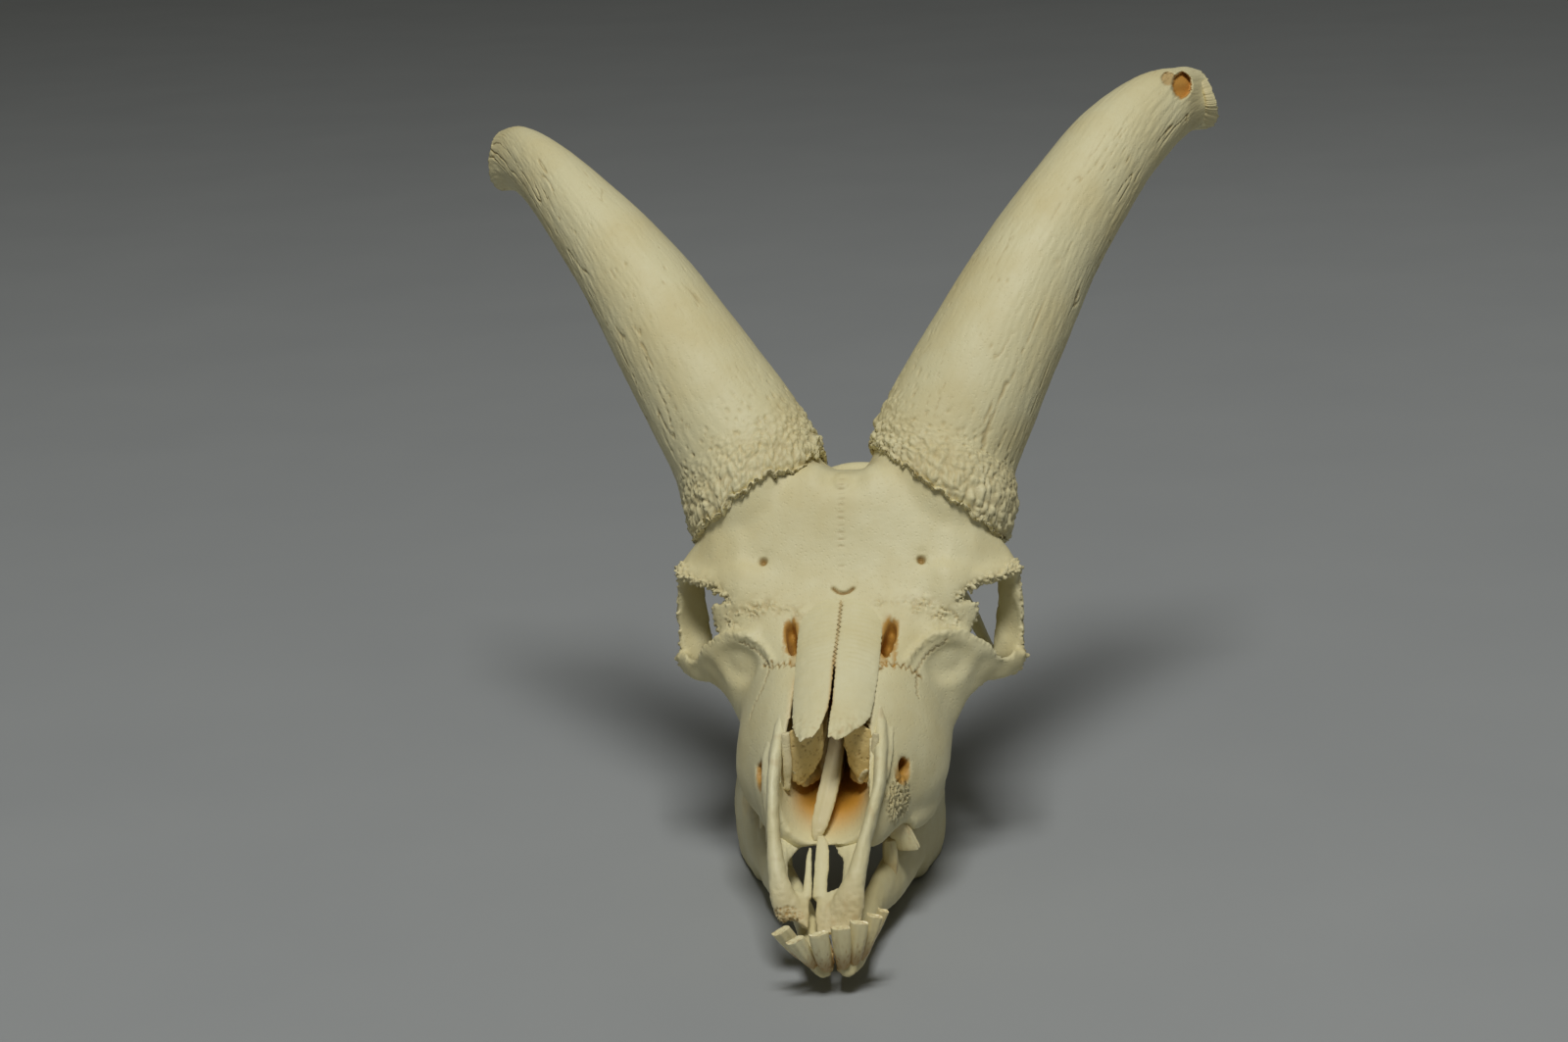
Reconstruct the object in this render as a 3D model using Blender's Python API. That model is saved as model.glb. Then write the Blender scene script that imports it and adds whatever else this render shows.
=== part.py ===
# Ibex skull with its lower jaw, horn cores broken short, resting on the jaw with the nose a little down.
# Sections are set out in the skull's own frame, in millimetres: x to the animal's left, y from the
# front back, z up, with the root of the nasal bones at y 0 and the sockets of the cheek teeth at z 0.
import math

import bmesh
import bpy
import numpy as np
from mathutils import Matrix, Vector

MM = 0.001
NOSE_DOWN = math.radians(14.0)
NASION_HEIGHT = 80.0
REST_NASION_Z = 145.0
JAW_YAW = math.radians(5.0)
JAW_SHIFT_X = -6.8
GAP = 0.3
SNOUT_LEAN = 0.045
SNOUT_START_Y = -10.0

# Finest and coarsest steps of the skins, and how many facets each bone keeps.
WELD = 0.05
BONE_SKIN = 1.7
THIN_SKIN = 1.1
CRANIUM_TRIANGLES = 3300
SINUS_TRIANGLES = 520
JAW_TRIANGLES = 560
PREMAXILLA_TRIANGLES = 280

# Half outlines of the cranium across the skull: the y of each, then x and z from the crown to the palate.
CRANIUM_SECTIONS = (
    (-97, ((0, 20), (13, 22), (20, 21), (24, 17), (25, 9), (21, 2), (15, 3), (0, 4))),
    (-80, ((0, 40), (14, 41), (21, 40), (27, 32), (31, 14), (26, -1), (16, 4), (0, 6))),
    (-64, ((0, 56), (15, 55), (23, 50), (34, 37), (43, 13), (33, -4), (17, 5), (0, 8))),
    (-50, ((0, 62), (17, 61), (27, 55), (43, 37), (52, 12), (37, -7), (17, 6), (0, 9))),
    (-38, ((0, 66), (18, 64), (30, 58), (46, 38), (56, 13), (39, -8), (17, 7), (0, 10))),
    (-22, ((0, 70), (20, 68), (33, 61), (46, 40), (54, 15), (40, -7), (17, 8), (0, 11))),
    (-10, ((0, 75), (22, 74), (45, 70), (50, 46), (52, 19), (38, -5), (17, 9), (0, 12))),
    (2, ((0, 82), (34, 83), (60, 76), (52, 52), (46, 22), (35, -3), (17, 11), (0, 14))),
    (12, ((0, 95), (42, 92), (63, 82), (40, 58), (33, 36), (26, 4), (15, 12), (0, 16))),
    (22, ((0, 111), (44, 105), (66, 90), (35, 66), (27, 46), (20, 22), (12, 18), (0, 20))),
    (34, ((0, 127), (40, 121), (64, 98), (38, 76), (31, 56), (20, 34), (10, 24), (0, 24))),
    (44, ((0, 127), (26, 125), (50, 104), (39, 82), (32, 60), (21, 40), (10, 28), (0, 26))),
    (56, ((0, 119), (24, 117), (42, 100), (39, 82), (33, 62), (22, 44), (10, 32), (0, 28))),
    (70, ((0, 111), (23, 108), (37, 94), (39, 78), (34, 60), (23, 44), (10, 33), (0, 29))),
    (84, ((0, 102), (21, 99), (34, 87), (38, 72), (34, 56), (23, 43), (10, 33), (0, 30))),
    (97, ((0, 92), (16, 90), (29, 80), (35, 66), (32, 53), (22, 42), (9, 36), (0, 33))),
    (107, ((0, 84), (12, 82), (23, 74), (29, 62), (27, 52), (18, 45), (8, 41), (0, 40))),
    (112, ((0, 76), (8, 75), (16, 68), (19, 60), (18, 52), (12, 47), (5, 46), (0, 46))),
)

# Tubes: x, y, z of the middle, then the two half widths across the run.
SUPRAORBITAL = (
    (30, 10, 80, 11, 6), (50, 14, 81, 10, 5.4), (66, 19, 79.5, 10, 4), (74, 24, 77.5, 8.5, 3.2), (79, 28, 75, 5, 2.6),
)
ZYGOMATIC_ARCH = (
    (75, 17, 33, 6, 2.6), (70, 29, 31, 5, 2.3), (65, 42, 32, 4.8, 2.3),
    (60, 56, 37, 5, 2.6), (52, 68, 44, 5.5, 3.6), (38, 77, 50, 8, 7),
)
OCCIPITAL_CREST = (
    (42, 96, 44, 8, 5), (39, 99, 57, 8, 5), (31, 102, 70, 8, 5), (21, 105, 79, 8, 5),
    (10, 107, 83.5, 8, 4.6), (0, 107.5, 85, 8, 4.6),
)
PARAOCCIPITAL = ((38, 100, 50, 8, 5), (37, 102, 34, 7, 4), (34, 101, 18, 5.5, 3), (31, 98, 4, 3, 2))
SKULL_BASE = (
    (0, 108, 27, 11, 6), (0, 92, 25, 10, 7), (0, 74, 26, 8, 7),
    (0, 55, 25, 7, 8), (0, 36, 22, 7, 9), (0, 20, 18, 9, 8),
)
EAR_TUBE = ((22, 84, 40, 7, 7), (33, 86, 47, 6, 6), (44, 88, 54, 5, 5))

# Plates: one edge, the other edge and the half thickness between them.
CHEEK = (
    ((81, 16, 38), (77, 14, 28.5), 2.8), ((74, 5, 45), (72, 7, 27), 2.8), ((66, -2, 53), (63, 0, 25), 3.0),
    ((57, -7, 61), (55, -6, 21.5), 3.2), ((48, -11, 67), (49, -13, 14), 4.2), ((38, -13, 70), (40, -16, 8), 6.0),
)
ORBIT_FRONT = (
    ((32, 6, 91), (34, -10, 48), 7), ((46, 10, 90), (46, -8, 52), 6.4), ((55, 12, 87), (53, -5, 56), 5),
    ((60, 11, 80), (58, 0, 60), 3.4), ((62, 9, 73), (60, 4, 63), 2),
)
ORBIT_BAR = (
    ((82, 21, 80), (69, 32, 82), 3.4), ((82, 20, 68), (68.5, 35, 69), 2.8), ((82, 18, 56), (67.5, 34, 55), 2.7),
    ((82, 15, 45), (65, 29, 43), 2.8), ((80, 12, 35), (63, 21, 32), 3.2),
)
BROW = (
    ((36, 9, 82), (36, 34, 113), 6), ((46, 9, 80), (48, 36, 108), 6), ((56, 11, 78.5), (58, 39, 103), 5.6),
    ((68, 17, 79), (68, 44, 94), 5), ((77, 25, 78), (74, 48, 86), 4.2), ((80, 31, 77), (75, 47, 80), 3.0),
)
PTERYGOID = (
    ((14, 2, 14), (13, 4, -1), 2.2), ((14, 18, 30), (12.5, 20, 1), 1.8),
    ((13, 32, 32), (11.5, 34, 4), 1.6), ((12, 44, 33), (11, 48, 14), 1.6),
)
# Knobs under the skull: centre, half sizes and turn about z.
OCCIPITAL_CONDYLE = ((17, 112, 27), (11, 8.5, 12), 20)
EAR_BULLA = ((24, 87, 28), (8.5, 9, 12.5))

# Horn cores: centre, half widths along the skull and across it, and the lean of the section.
HORN_LEFT = (
    (39, 50, 90, 33, 32, -0.28), (41.5, 57, 100, 37, 35.5, -0.28), (45, 72, 116.3, 36, 34, -0.16),
    (56, 85.2, 136.3, 34.5, 32.4, -0.06), (67, 99, 154.2, 33, 30.4, 0), (78.2, 114.6, 170.8, 31.5, 28.3, 0),
    (90.2, 132.2, 186.6, 29.5, 26, 0), (104.2, 151.6, 201.6, 27, 23.8, 0), (121, 173.9, 217.2, 24, 21.4, 0),
    (138.6, 196.7, 226, 21, 18, 0), (153, 216, 225.5, 18.5, 14, 0), (164, 228, 220, 18, 10.5, 0),
)
HORN_RIGHT = (
    (-39, 50, 90, 33, 32, 0.28), (-43, 57, 101, 37, 35.5, 0.28), (-53, 72.6, 118.3, 36, 33.4, 0.16),
    (-67, 85.7, 138, 34, 31, 0.06), (-81.5, 99.7, 157, 32, 28.6, 0), (-96.6, 115.6, 175, 29.5, 25.8, 0),
    (-114.4, 133.4, 192, 26, 22, 0), (-133.8, 152.5, 206.5, 22, 18, 0), (-149.8, 171, 214.2, 18.5, 14.4, 0),
    (-164.6, 188.7, 215.4, 16, 11.5, 0), (-177.4, 203.3, 208.8, 14.5, 9.5, 0),
)
CORE_WALL = 6.0
LEAST_SINUS = 3.0
# Breaks in the walls of the cores: from, to and radius.
CORE_HOLES = (((153, 196, 250), (149, 208, 218), 4.6), ((-172, 222, 206), (-158, 186, 212), 5.0))

# Openings: centre, half sizes and turn about z, or tubes and plates as above.
ORBIT = ((66, 10, 55), (34, 18.5, 19), -16)
BRAIN = ((0, 66, 68), (28, 29, 28))
FORAMEN_MAGNUM = ((0, 74, 66, 8, 8), (0, 98, 50, 9, 9), (0, 124, 41, 10.5, 10.5))
BROW_FORAMEN = ((36, 6, 104, 2.6, 2.6), (35.5, 14, 88, 2.4, 2.4), (34, 20, 80, 2, 2))
CHEEK_FORAMEN = ((36, -78, 27, 3.2, 2.6), (22, -58, 28, 3, 2.4), (14, -54, 28, 3, 2.4))
NASAL_SLIT = (
    ((23.6, -11, 90), (20.5, -33, 82), 2.2), ((22, -13, 68), (19.5, -31, 62), 1.9), ((17, -15, 52), (16, -29, 50), 1.4),
)
# Nasal cavity: y, half width, floor and roof.
NASAL_CAVITY = (
    (-104, 17, 6.5, 34), (-88, 16.5, 8, 46), (-70, 16.5, 10, 60), (-50, 17.5, 12, 72), (-30, 18, 14, 57),
    (-12, 17, 17, 58), (4, 13, 22, 54), (14, 8, 28, 48),
)

# Nasal bones: y, height, inner and outer edge, and the drop of the outer edge.
NASAL_LEFT = (
    (2.0, 80.3, 0.5, 14.8, 2.8), (-3, 79.2, 0.5, 17.2, 3.4), (-10, 77.6, 0.6, 18.2, 3.7), (-20, 74.6, 0.6, 18.8, 4.0),
    (-32, 71.0, 0.4, 18.6, 4.4), (-45, 67.2, 0.0, 18.2, 4.6), (-58, 63.6, 0.0, 17.4, 4.6), (-69, 60.6, -0.4, 15.9, 4.2),
    (-77, 58.6, -0.8, 9.6, 2.6), (-83.5, 57.0, -0.6, 3.6, 1.4),
)
NASAL_RIGHT = (
    (2.0, 80.3, -0.5, -14.8, 2.8), (-3, 79.2, -0.5, -17.2, 3.4), (-10, 77.6, -0.7, -18.2, 3.7),
    (-20, 74.6, -1.0, -18.8, 4.0), (-32, 71.0, -1.5, -18.8, 4.4), (-45, 67.2, -2.4, -18.6, 4.6), (-58, 63.6, -3.6, -18.2, 4.6),
    (-70, 60.2, -4.8, -17.2, 4.2), (-78, 58.0, -6.0, -15.0, 3.0), (-83, 56.8, -7.4, -12.4, 2.0),
)
NASAL_HALF_THICK = 1.3
NASAL_RING = 8
NASAL_BED_LIFT = 0.2

# Premaxilla: the bar up the side of the nose, the plate at its end and the inner splint.
BAR_LEFT = (
    (17.6, -47, 56, 3.2, 2.4), (19.8, -60, 48, 3.9, 3.0), (21, -74, 42, 4.3, 3.4), (21, -88, 34.5, 4.5, 3.5),
    (17.6, -100, 25, 4.3, 3.1), (15, -108, 18, 4.3, 3.2), (12, -119, 9, 4.2, 3.6), (9, -126, 2, 4, 5),
)
BAR_RIGHT = (
    (-21.4, -47, 56, 3.2, 2.4), (-23.4, -60, 48, 3.9, 3.0), (-25, -74, 42, 4.3, 3.3), (-25.4, -88, 34.5, 4.5, 3.4),
    (-25, -100, 25, 4.6, 3.4), (-24, -108, 18, 4.5, 3.5), (-22.2, -119, 9, 4.3, 3.6), (-20, -126, 2, 4, 4.6),
)
BAR_CLEAR = 0.7
PLATE_LEFT = (
    ((-5.8, -121, -1.5), (14.2, -120, 5), 2.6), ((-6.0, -127, -3.5), (15.6, -127, -0.5), 2.9),
    ((-5.8, -132, -6.4), (15, -132, -4.6), 2.8), ((-5.0, -137.4, -9.8), (13.4, -137, -8.6), 2.0),
)
PLATE_RIGHT = (
    ((-8.4, -121, -1.5), (-23.6, -120, 5), 2.6), ((-8.2, -127, -4), (-25.2, -126, 0), 2.9),
    ((-8.0, -131.5, -6.6), (-22, -129.5, -3), 2.7), ((-8.2, -135, -8.6), (-13, -133, -6.6), 1.9),
)
SPLINT_LEFT = (
    (-4.0, -123, -1, 2.2, 2.6), (-4.6, -114, 2.4, 1.7, 2.4), (-3.6, -104, 6.4, 1.6, 2.2), (-1.6, -95, 10.4, 1.2, 1.4),
)
SPLINT_RIGHT = (
    (-9.6, -123, -1, 1.9, 2.6), (-9.8, -114, 2.4, 1.5, 2.2), (-10.2, -105, 5.6, 1.4, 2.0), (-10.0, -97.5, 8.2, 1.0, 1.2),
)

# Inside the nose: the upright vomer, and two scrolls on each side.
VOMER = (
    ((-6.4, -92, 13.5), (-6.2, -91, 9.4), 1.4), ((-5.0, -84, 17), (-4.8, -82, 8.6), 2.2),
    ((-2.6, -70, 25), (-2.4, -68, 9.4), 2.4), ((-0.8, -50, 34), (-0.6, -50, 11.4), 1.8),
    ((0, -28, 38), (0, -28, 13.4), 1.5),
)
CONCHAE = {
    "nasal_scroll_upper_right": (
        ((-5.0, -74, 46), (-14, -72, 40), 1.2), ((-5.5, -72, 34), (-13, -68, 30), 3.0),
        ((-6, -55, 42), (-14, -53, 36), 5.0), ((-6, -36, 49), (-14, -34, 41), 4.5), ((-6, -18, 50), (-13, -16, 42), 3.0),
    ),
    "nasal_scroll_upper_left": (
        ((3.4, -71, 46), (12, -69, 40), 1.2), ((4, -69, 35), (11, -65, 31), 3.0),
        ((4.5, -53, 42), (12, -51, 36), 5.0), ((5.5, -36, 49), (13, -34, 41), 4.5), ((6, -18, 50), (13, -16, 42), 3.0),
    ),
    "nasal_scroll_lower_right": (
        ((-14.4, -78, 27), (-12.6, -75, 20), 1.4), ((-13.0, -64, 26), (-10.0, -62, 19), 3.6),
        ((-11.5, -48, 29), (-8.5, -47, 20), 4.0), ((-11, -28, 34), (-8, -28, 24), 3.6),
    ),
    "nasal_scroll_lower_left": (
        ((10.4, -76, 27), (8.4, -73, 20), 1.4), ((9.4, -62, 26), (6.6, -60, 19), 3.4),
        ((10, -48, 29), (7.4, -47, 20), 4.0), ((10.6, -28, 34), (7.8, -28, 24), 3.6),
    ),
}

# Lower jaw, in its own frame: z from the ground it rests on, y as in the resting skull, left side.
JAW_BODY = (
    (4.8, -124, 15.6, 5.4, 4.4), (6.4, -114, 15.0, 6.6, 6.2), (9.0, -102, 17, 7.8, 6.8), (12.0, -88, 20, 7.8, 5.4),
    (15.8, -72, 21, 9.0, 4.8), (20.0, -56, 20.5, 12.8, 5.6), (24.8, -38, 19, 16.2, 6.8), (29.2, -20, 19.0, 18.8, 7.6),
    (32.8, -2, 20.4, 20.8, 8.0), (36.4, 14, 21.8, 22.4, 7.6), (40.0, 30, 23.2, 24.2, 6.0), (43, 44, 24, 25.4, 4.8),
    (46, 56, 22, 23.2, 3.8), (47.6, 64, 19.5, 17.5, 2.8),
)
JAW_RAMUS = (
    ((37, 26, 28), (43, 67, 16), 3.6), ((38.5, 33, 46), (43, 68, 38), 3.4), ((40, 41, 64), (42.5, 70, 60), 3.0),
    ((41, 46, 84), (42, 74, 82), 2.6), ((41.5, 50, 98), (41.5, 77, 99), 2.6),
)
JAW_SHELF = (
    ((1.8, -102, 18), (11, -98, 20), 4.4), ((0.8, -114, 16), (12.6, -108, 18.8), 4.6),
    ((0.8, -121, 15.5), (14.8, -113.5, 20.6), 4.2), ((1.2, -125.5, 15.4), (12.6, -119, 18.6), 2.6),
)
CORONOID = (
    ((41.5, 50, 92), (41.5, 66, 94), 2.4), ((42, 54, 108), (42, 66, 108), 2.2),
    ((42.5, 60, 122), (42.5, 69, 121), 1.9), ((43, 68, 134), (43, 73, 131), 1.4),
)
CONDYLE_NECK = (((41.5, 68, 92), (41.5, 78, 94), 3.0), ((41, 70, 106), (41, 78, 106), 3.2))
JAW_CONDYLE = ((41, 75, 111), (9, 4.4, 4.0))
JAW_FLAT_Z = 0.4

# Cheek teeth: place along the row and across it, length, width and height of the crown over the gum.
UPPER_TEETH = (
    ("premolar2", -64, 27.0, 7.6, 6.6, 9.3), ("premolar3", -55.3, 28.6, 8.6, 8.6, 10.0),
    ("premolar4", -45.9, 30.0, 9.0, 10.4, 10.8), ("molar1", -34.6, 31.2, 12.4, 12.0, 11.7),
    ("molar2", -20.0, 31.6, 15.4, 12.6, 12.9), ("molar3", -3.6, 31.0, 16.2, 11.8, 14.3),
)
LOWER_TEETH = (
    ("premolar2", -46.0, 21.8, 6.2, 5.0, 10.0), ("premolar3", -38.2, 23.8, 7.2, 5.8, 10.6),
    ("premolar4", -29.2, 26.0, 8.6, 6.8, 11.0), ("molar1", -17.2, 28.8, 13.0, 7.6, 11.0),
    ("molar2", -2.2, 31.8, 14.6, 8.0, 11.0), ("molar3", 16.4, 35.0, 20.2, 8.0, 11.0),
)
TOOTH_ROOT = 10.0
TOOTH_RING = 8
ROOT_SHARE = 0.7
BITE_SHARE = 0.84
WAIST = 0.45
# The worn ends of the upper cheek teeth lie in one plane, and the lower ones stop short of it.
BITE_AT = Vector((0, -64, -9.3))
BITE_SLOPE = -0.083
BITE_GAP = 0.6

# Incisors, in the lower jaw's frame: root, gum line, tip, half width at the tip and half thickness.
INCISORS = {
    "incisor_left_1": ((2.8, -113, 12.5), (3.6, -125, 19), (3.0, -134, 37), 3.7, 2.1),
    "incisor_left_2": ((6.0, -112, 13), (8.4, -123.5, 19.8), (11.4, -131.5, 38.5), 3.7, 2.0),
    "incisor_left_3": ((8.8, -110, 14), (12.4, -120.5, 21.6), (18.6, -128, 40), 3.2, 1.9),
    "incisor_left_4": ((11.0, -107, 15.5), (15.2, -115.5, 24), (23.2, -121.6, 41), 2.2, 1.6),
    "incisor_right_1": ((-2.8, -113, 12.5), (-4.2, -125, 18), (-6.0, -135, 35.5), 3.8, 2.1),
    "incisor_right_2": ((-6.2, -112, 13), (-10, -123, 18.6), (-19.0, -132.5, 30), 3.6, 2.0),
    "incisor_right_3": ((-9.4, -109, 14), (-14.6, -118, 20.6), (-26.2, -126.6, 33), 3.5, 1.9),
}
INCISOR_TURN = 0.15

BONE = (0.80, 0.73, 0.52, 1.0)
NASAL_TINT = (0.83, 0.76, 0.56, 1.0)
INNER_BONE = (0.76, 0.62, 0.38, 1.0)
JAW_BONE = (0.78, 0.71, 0.48, 1.0)
ENAMEL = (0.86, 0.81, 0.64, 1.0)
BONE_ROUGHNESS = 0.62
ENAMEL_ROUGHNESS = 0.35

COS_DOWN = math.cos(NOSE_DOWN)
SIN_DOWN = math.sin(NOSE_DOWN)
SKULL_TO_REST = Matrix(
    (
        (1, 0, 0, 0),
        (0, COS_DOWN, -SIN_DOWN, NASION_HEIGHT * SIN_DOWN),
        (0, SIN_DOWN, COS_DOWN, REST_NASION_Z - NASION_HEIGHT * COS_DOWN),
        (0, 0, 0, 1),
    )
)
JAW_TO_REST = Matrix.Translation((JAW_SHIFT_X, 0, 0)) @ Matrix.Rotation(JAW_YAW, 4, "Z")
SKULL_TO_JAW = JAW_TO_REST.inverted() @ SKULL_TO_REST

for old in list(bpy.data.objects):
    bpy.data.objects.remove(old)


def midline(y):
    """The nose leans a little to the animal's right, away from the brow."""
    return SNOUT_LEAN * min(0.0, y - SNOUT_START_Y)


def circle(bm, centre, first, second, steps):
    """A ring of vertices whose half axes are the vectors first and second."""
    normal = first.cross(second).normalized()
    place = Matrix.Translation(centre) @ Matrix((first, second, normal)).transposed().to_4x4()
    return bmesh.ops.create_circle(bm, segments=steps, radius=1.0, matrix=place)["verts"]


def skin(bm, rings):
    """Joins each ring to the next and closes both ends."""
    for pair in zip(rings, rings[1:]):
        edges = {e for ring in pair for v in ring for e in v.link_edges if all(end in ring for end in e.verts)}
        bmesh.ops.bridge_loops(bm, edges=list(edges))
    for end in (rings[0], rings[-1]):
        bm.faces.new(end)


def ring_through(bm, places):
    """A closed ring of vertices at the places."""
    ring = [bm.verts.new(place) for place in places]
    for a, b in zip(ring, ring[1:] + ring[:1]):
        bm.edges.new((a, b))
    return ring


def tube(bm, stations, steps=16, grow=0.0, wide=Vector((1, 0, 0))):
    """A bent tube through stations of x, y, z and two half widths, the second along wide."""
    middles = [Vector(s[:3]) for s in stations]
    rings = []
    for i, station in enumerate(stations):
        run = (middles[min(i + 1, len(middles) - 1)] - middles[max(i - 1, 0)]).normalized()
        across = (wide - wide.dot(run) * run).normalized()
        along = across.cross(run)
        lean = station[5] if len(station) > 5 else 0.0
        second = (across + run * lean) * (station[4] + grow)
        rings.append(circle(bm, middles[i], along * (station[3] + grow), second, steps))
    skin(bm, rings)


def plate(bm, stations, steps=12, grow=0.0):
    """A bent plate through stations of two edges and a half thickness."""
    middles = [(Vector(a) + Vector(b)) / 2 for a, b, _ in stations]
    rings = []
    for i, (a, b, thick) in enumerate(stations):
        run = (middles[min(i + 1, len(middles) - 1)] - middles[max(i - 1, 0)]).normalized()
        half = (Vector(a) - Vector(b)) / 2
        side = run.cross(half).normalized()
        rings.append(circle(bm, middles[i], half + half.normalized() * grow, side * (thick + grow), steps))
    skin(bm, rings)


def ball(bm, centre, radii, turn_z=0.0):
    turn = Matrix.Rotation(math.radians(turn_z), 4, "Z")
    place = Matrix.Translation(centre) @ turn @ Matrix.Diagonal((*radii, 1))
    bmesh.ops.create_icosphere(bm, subdivisions=3, radius=1.0, matrix=place)


def mirrored(bm, shape, *values, **more):
    """Draws a shape and its twin across the middle of the skull."""
    first = len(bm.verts)
    shape(bm, *values, **more)
    bm.verts.ensure_lookup_table()
    both = bm.verts[first:]
    faces = {f for v in both for f in v.link_faces}
    made = bmesh.ops.duplicate(bm, geom=list(both) + list(faces))["geom"]
    twin = [g for g in made if isinstance(g, bmesh.types.BMVert)]
    bmesh.ops.scale(bm, vec=(-1, 1, 1), verts=twin)
    bmesh.ops.reverse_faces(bm, faces=[g for g in made if isinstance(g, bmesh.types.BMFace)])


def mesh_object(name, bm):
    bmesh.ops.recalc_face_normals(bm, faces=bm.faces[:])
    mesh = bpy.data.meshes.new(name)
    bm.to_mesh(mesh)
    bm.free()
    obj = bpy.data.objects.new(name, mesh)
    bpy.context.scene.collection.objects.link(obj)
    return obj


def settled(obj):
    """Turns an object's modifiers into its mesh."""
    bpy.context.view_layer.update()
    graph = bpy.context.evaluated_depsgraph_get()
    mesh = bpy.data.meshes.new_from_object(obj.evaluated_get(graph))
    obj.modifiers.clear()
    obj.data = mesh
    return obj


def fused(obj, voxel, rounds):
    """One skin over overlapping shapes, with its creases rounded."""
    remesh = obj.modifiers.new("Skin", "REMESH")
    remesh.mode = "VOXEL"
    remesh.voxel_size = voxel
    smooth = obj.modifiers.new("Round", "SMOOTH")
    smooth.factor = 0.5
    smooth.iterations = rounds
    return settled(obj)


def drop_flakes(bm):
    """Removes the loose flakes that a cut leaves beside the bone."""
    left = set(bm.faces)
    bodies = []
    while left:
        front = [left.pop()]
        body = set(front)
        while front:
            near = {f for e in front.pop().edges if len(e.link_faces) == 2 for f in e.link_faces} & left
            left -= near
            body |= near
            front += near
        bodies.append(body)
    bone = max(bodies, key=len)
    bmesh.ops.delete(bm, geom=[f for f in bm.faces if f not in bone], context="FACES")


def cut(obj, cutter):
    boolean = obj.modifiers.new("Cut", "BOOLEAN")
    boolean.operation = "DIFFERENCE"
    boolean.solver = "EXACT"
    boolean.use_self = True
    boolean.object = cutter
    settled(obj)
    bpy.data.objects.remove(cutter)
    bm = bmesh.new()
    bm.from_mesh(obj.data)
    bmesh.ops.remove_doubles(bm, verts=bm.verts[:], dist=WELD)
    bmesh.ops.dissolve_degenerate(bm, edges=bm.edges[:], dist=WELD)
    bmesh.ops.triangulate(bm, faces=bm.faces[:])
    drop_flakes(bm)
    bm.to_mesh(obj.data)
    bm.free()
    return obj


def thinned(obj, triangles):
    obj.data.calc_loop_triangles()
    decimate = obj.modifiers.new("Facets", "DECIMATE")
    decimate.ratio = min(1.0, triangles / len(obj.data.loop_triangles))
    decimate.use_collapse_triangulate = True
    return settled(obj)


def section_cage(bm, sections):
    """A closed skin through half outlines, mirrored to whole ones."""
    rings = []
    for y, half in sections:
        outline = list(half) + [(-x, z) for x, z in half[-2:0:-1]]
        rings.append(ring_through(bm, [(x + midline(y), y, z) for x, z in outline]))
    skin(bm, rings)


def rounded(obj, levels):
    subsurf = obj.modifiers.new("Curve", "SUBSURF")
    subsurf.levels = levels
    subsurf.render_levels = levels
    return settled(obj)


def added(obj, other):
    """Adds another object's mesh to this one and removes the other."""
    bm = bmesh.new()
    bm.from_mesh(obj.data)
    bm.from_mesh(other.data)
    bm.to_mesh(obj.data)
    bm.free()
    bpy.data.objects.remove(other)


def nasal_shape(bm, stations, grow=0.0, lift=0.0):
    """A nasal bone: thin rings across it, arched down towards the outer edge."""
    rings = []
    for y, z, inner, outer, drop in stations:
        places = []
        for k in range(NASAL_RING):
            turn = 2 * math.pi * k / NASAL_RING
            share = 0.5 - 0.5 * math.cos(turn)
            x = inner + (outer - inner) * share + math.copysign(grow, outer) * (2 * share - 1)
            up = (NASAL_HALF_THICK + grow + lift) * math.sin(turn)
            places.append((x, y, z - NASAL_HALF_THICK - drop * share * share + up))
        rings.append(ring_through(bm, places))
    skin(bm, rings)


def cheek_tooth(bm, x, y, length, width, root, bite_plane, grow=0.0):
    """A cheek tooth from its root, a height from the bite, to a worn end in the bite plane."""
    first = len(bm.verts)
    stations = []
    for height, share in ((root, ROOT_SHARE), (root * WAIST, 1.0), (-math.copysign(grow, root), BITE_SHARE)):
        stations.append((x, y, height, length / 2 * share, width / 2 * share))
    tube(bm, stations, steps=TOOTH_RING, grow=grow)
    bm.verts.ensure_lookup_table()
    for v in bm.verts[first:]:
        v.co.z += bite_plane(v.co)


def upper_bite(place):
    """Height of the worn ends of the upper cheek teeth, in the skull's frame."""
    return BITE_AT.z + BITE_SLOPE * (place.y - BITE_AT.y)


def lower_bite(place):
    """Height that the lower cheek teeth reach, in the lower jaw's frame."""
    point = SKULL_TO_JAW @ BITE_AT
    normal = SKULL_TO_JAW.to_3x3() @ Vector((0, -BITE_SLOPE, 1))
    slope = (normal.x * (place.x - point.x) + normal.y * (place.y - point.y)) / normal.z
    return point.z - slope - BITE_GAP


def incisor(bm, root, gum, tip, wide, thick, grow=0.0):
    """A peg root that widens to a spade-shaped crown."""
    tip = Vector(tip)
    stations = ((*root, 1.2, 1.3), (*gum, thick * 0.9, wide * 0.56), (*tip, thick * 0.5, wide))
    tube(bm, stations, steps=TOOTH_RING, grow=grow, wide=Vector((1, -math.copysign(INCISOR_TURN, tip.x), 0)))


def finished(obj, colour, roughness):
    """Gives a piece its own material and smooth shading, in the resting pose."""
    material = bpy.data.materials.new(obj.name)
    material.use_nodes = True
    shader = material.node_tree.nodes["Principled BSDF"]
    shader.inputs["Base Color"].default_value = colour
    shader.inputs["Roughness"].default_value = roughness
    shader.inputs["Metallic"].default_value = 0.0
    material.diffuse_color = colour
    obj.data.materials.clear()
    obj.data.materials.append(material)
    obj.data.shade_smooth()


# Cranium: braincase, face, orbits, cheek arches and both horn cores, grown as one bone.
bm = bmesh.new()
section_cage(bm, CRANIUM_SECTIONS)
cranium = rounded(mesh_object("cranium", bm), 2)

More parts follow.
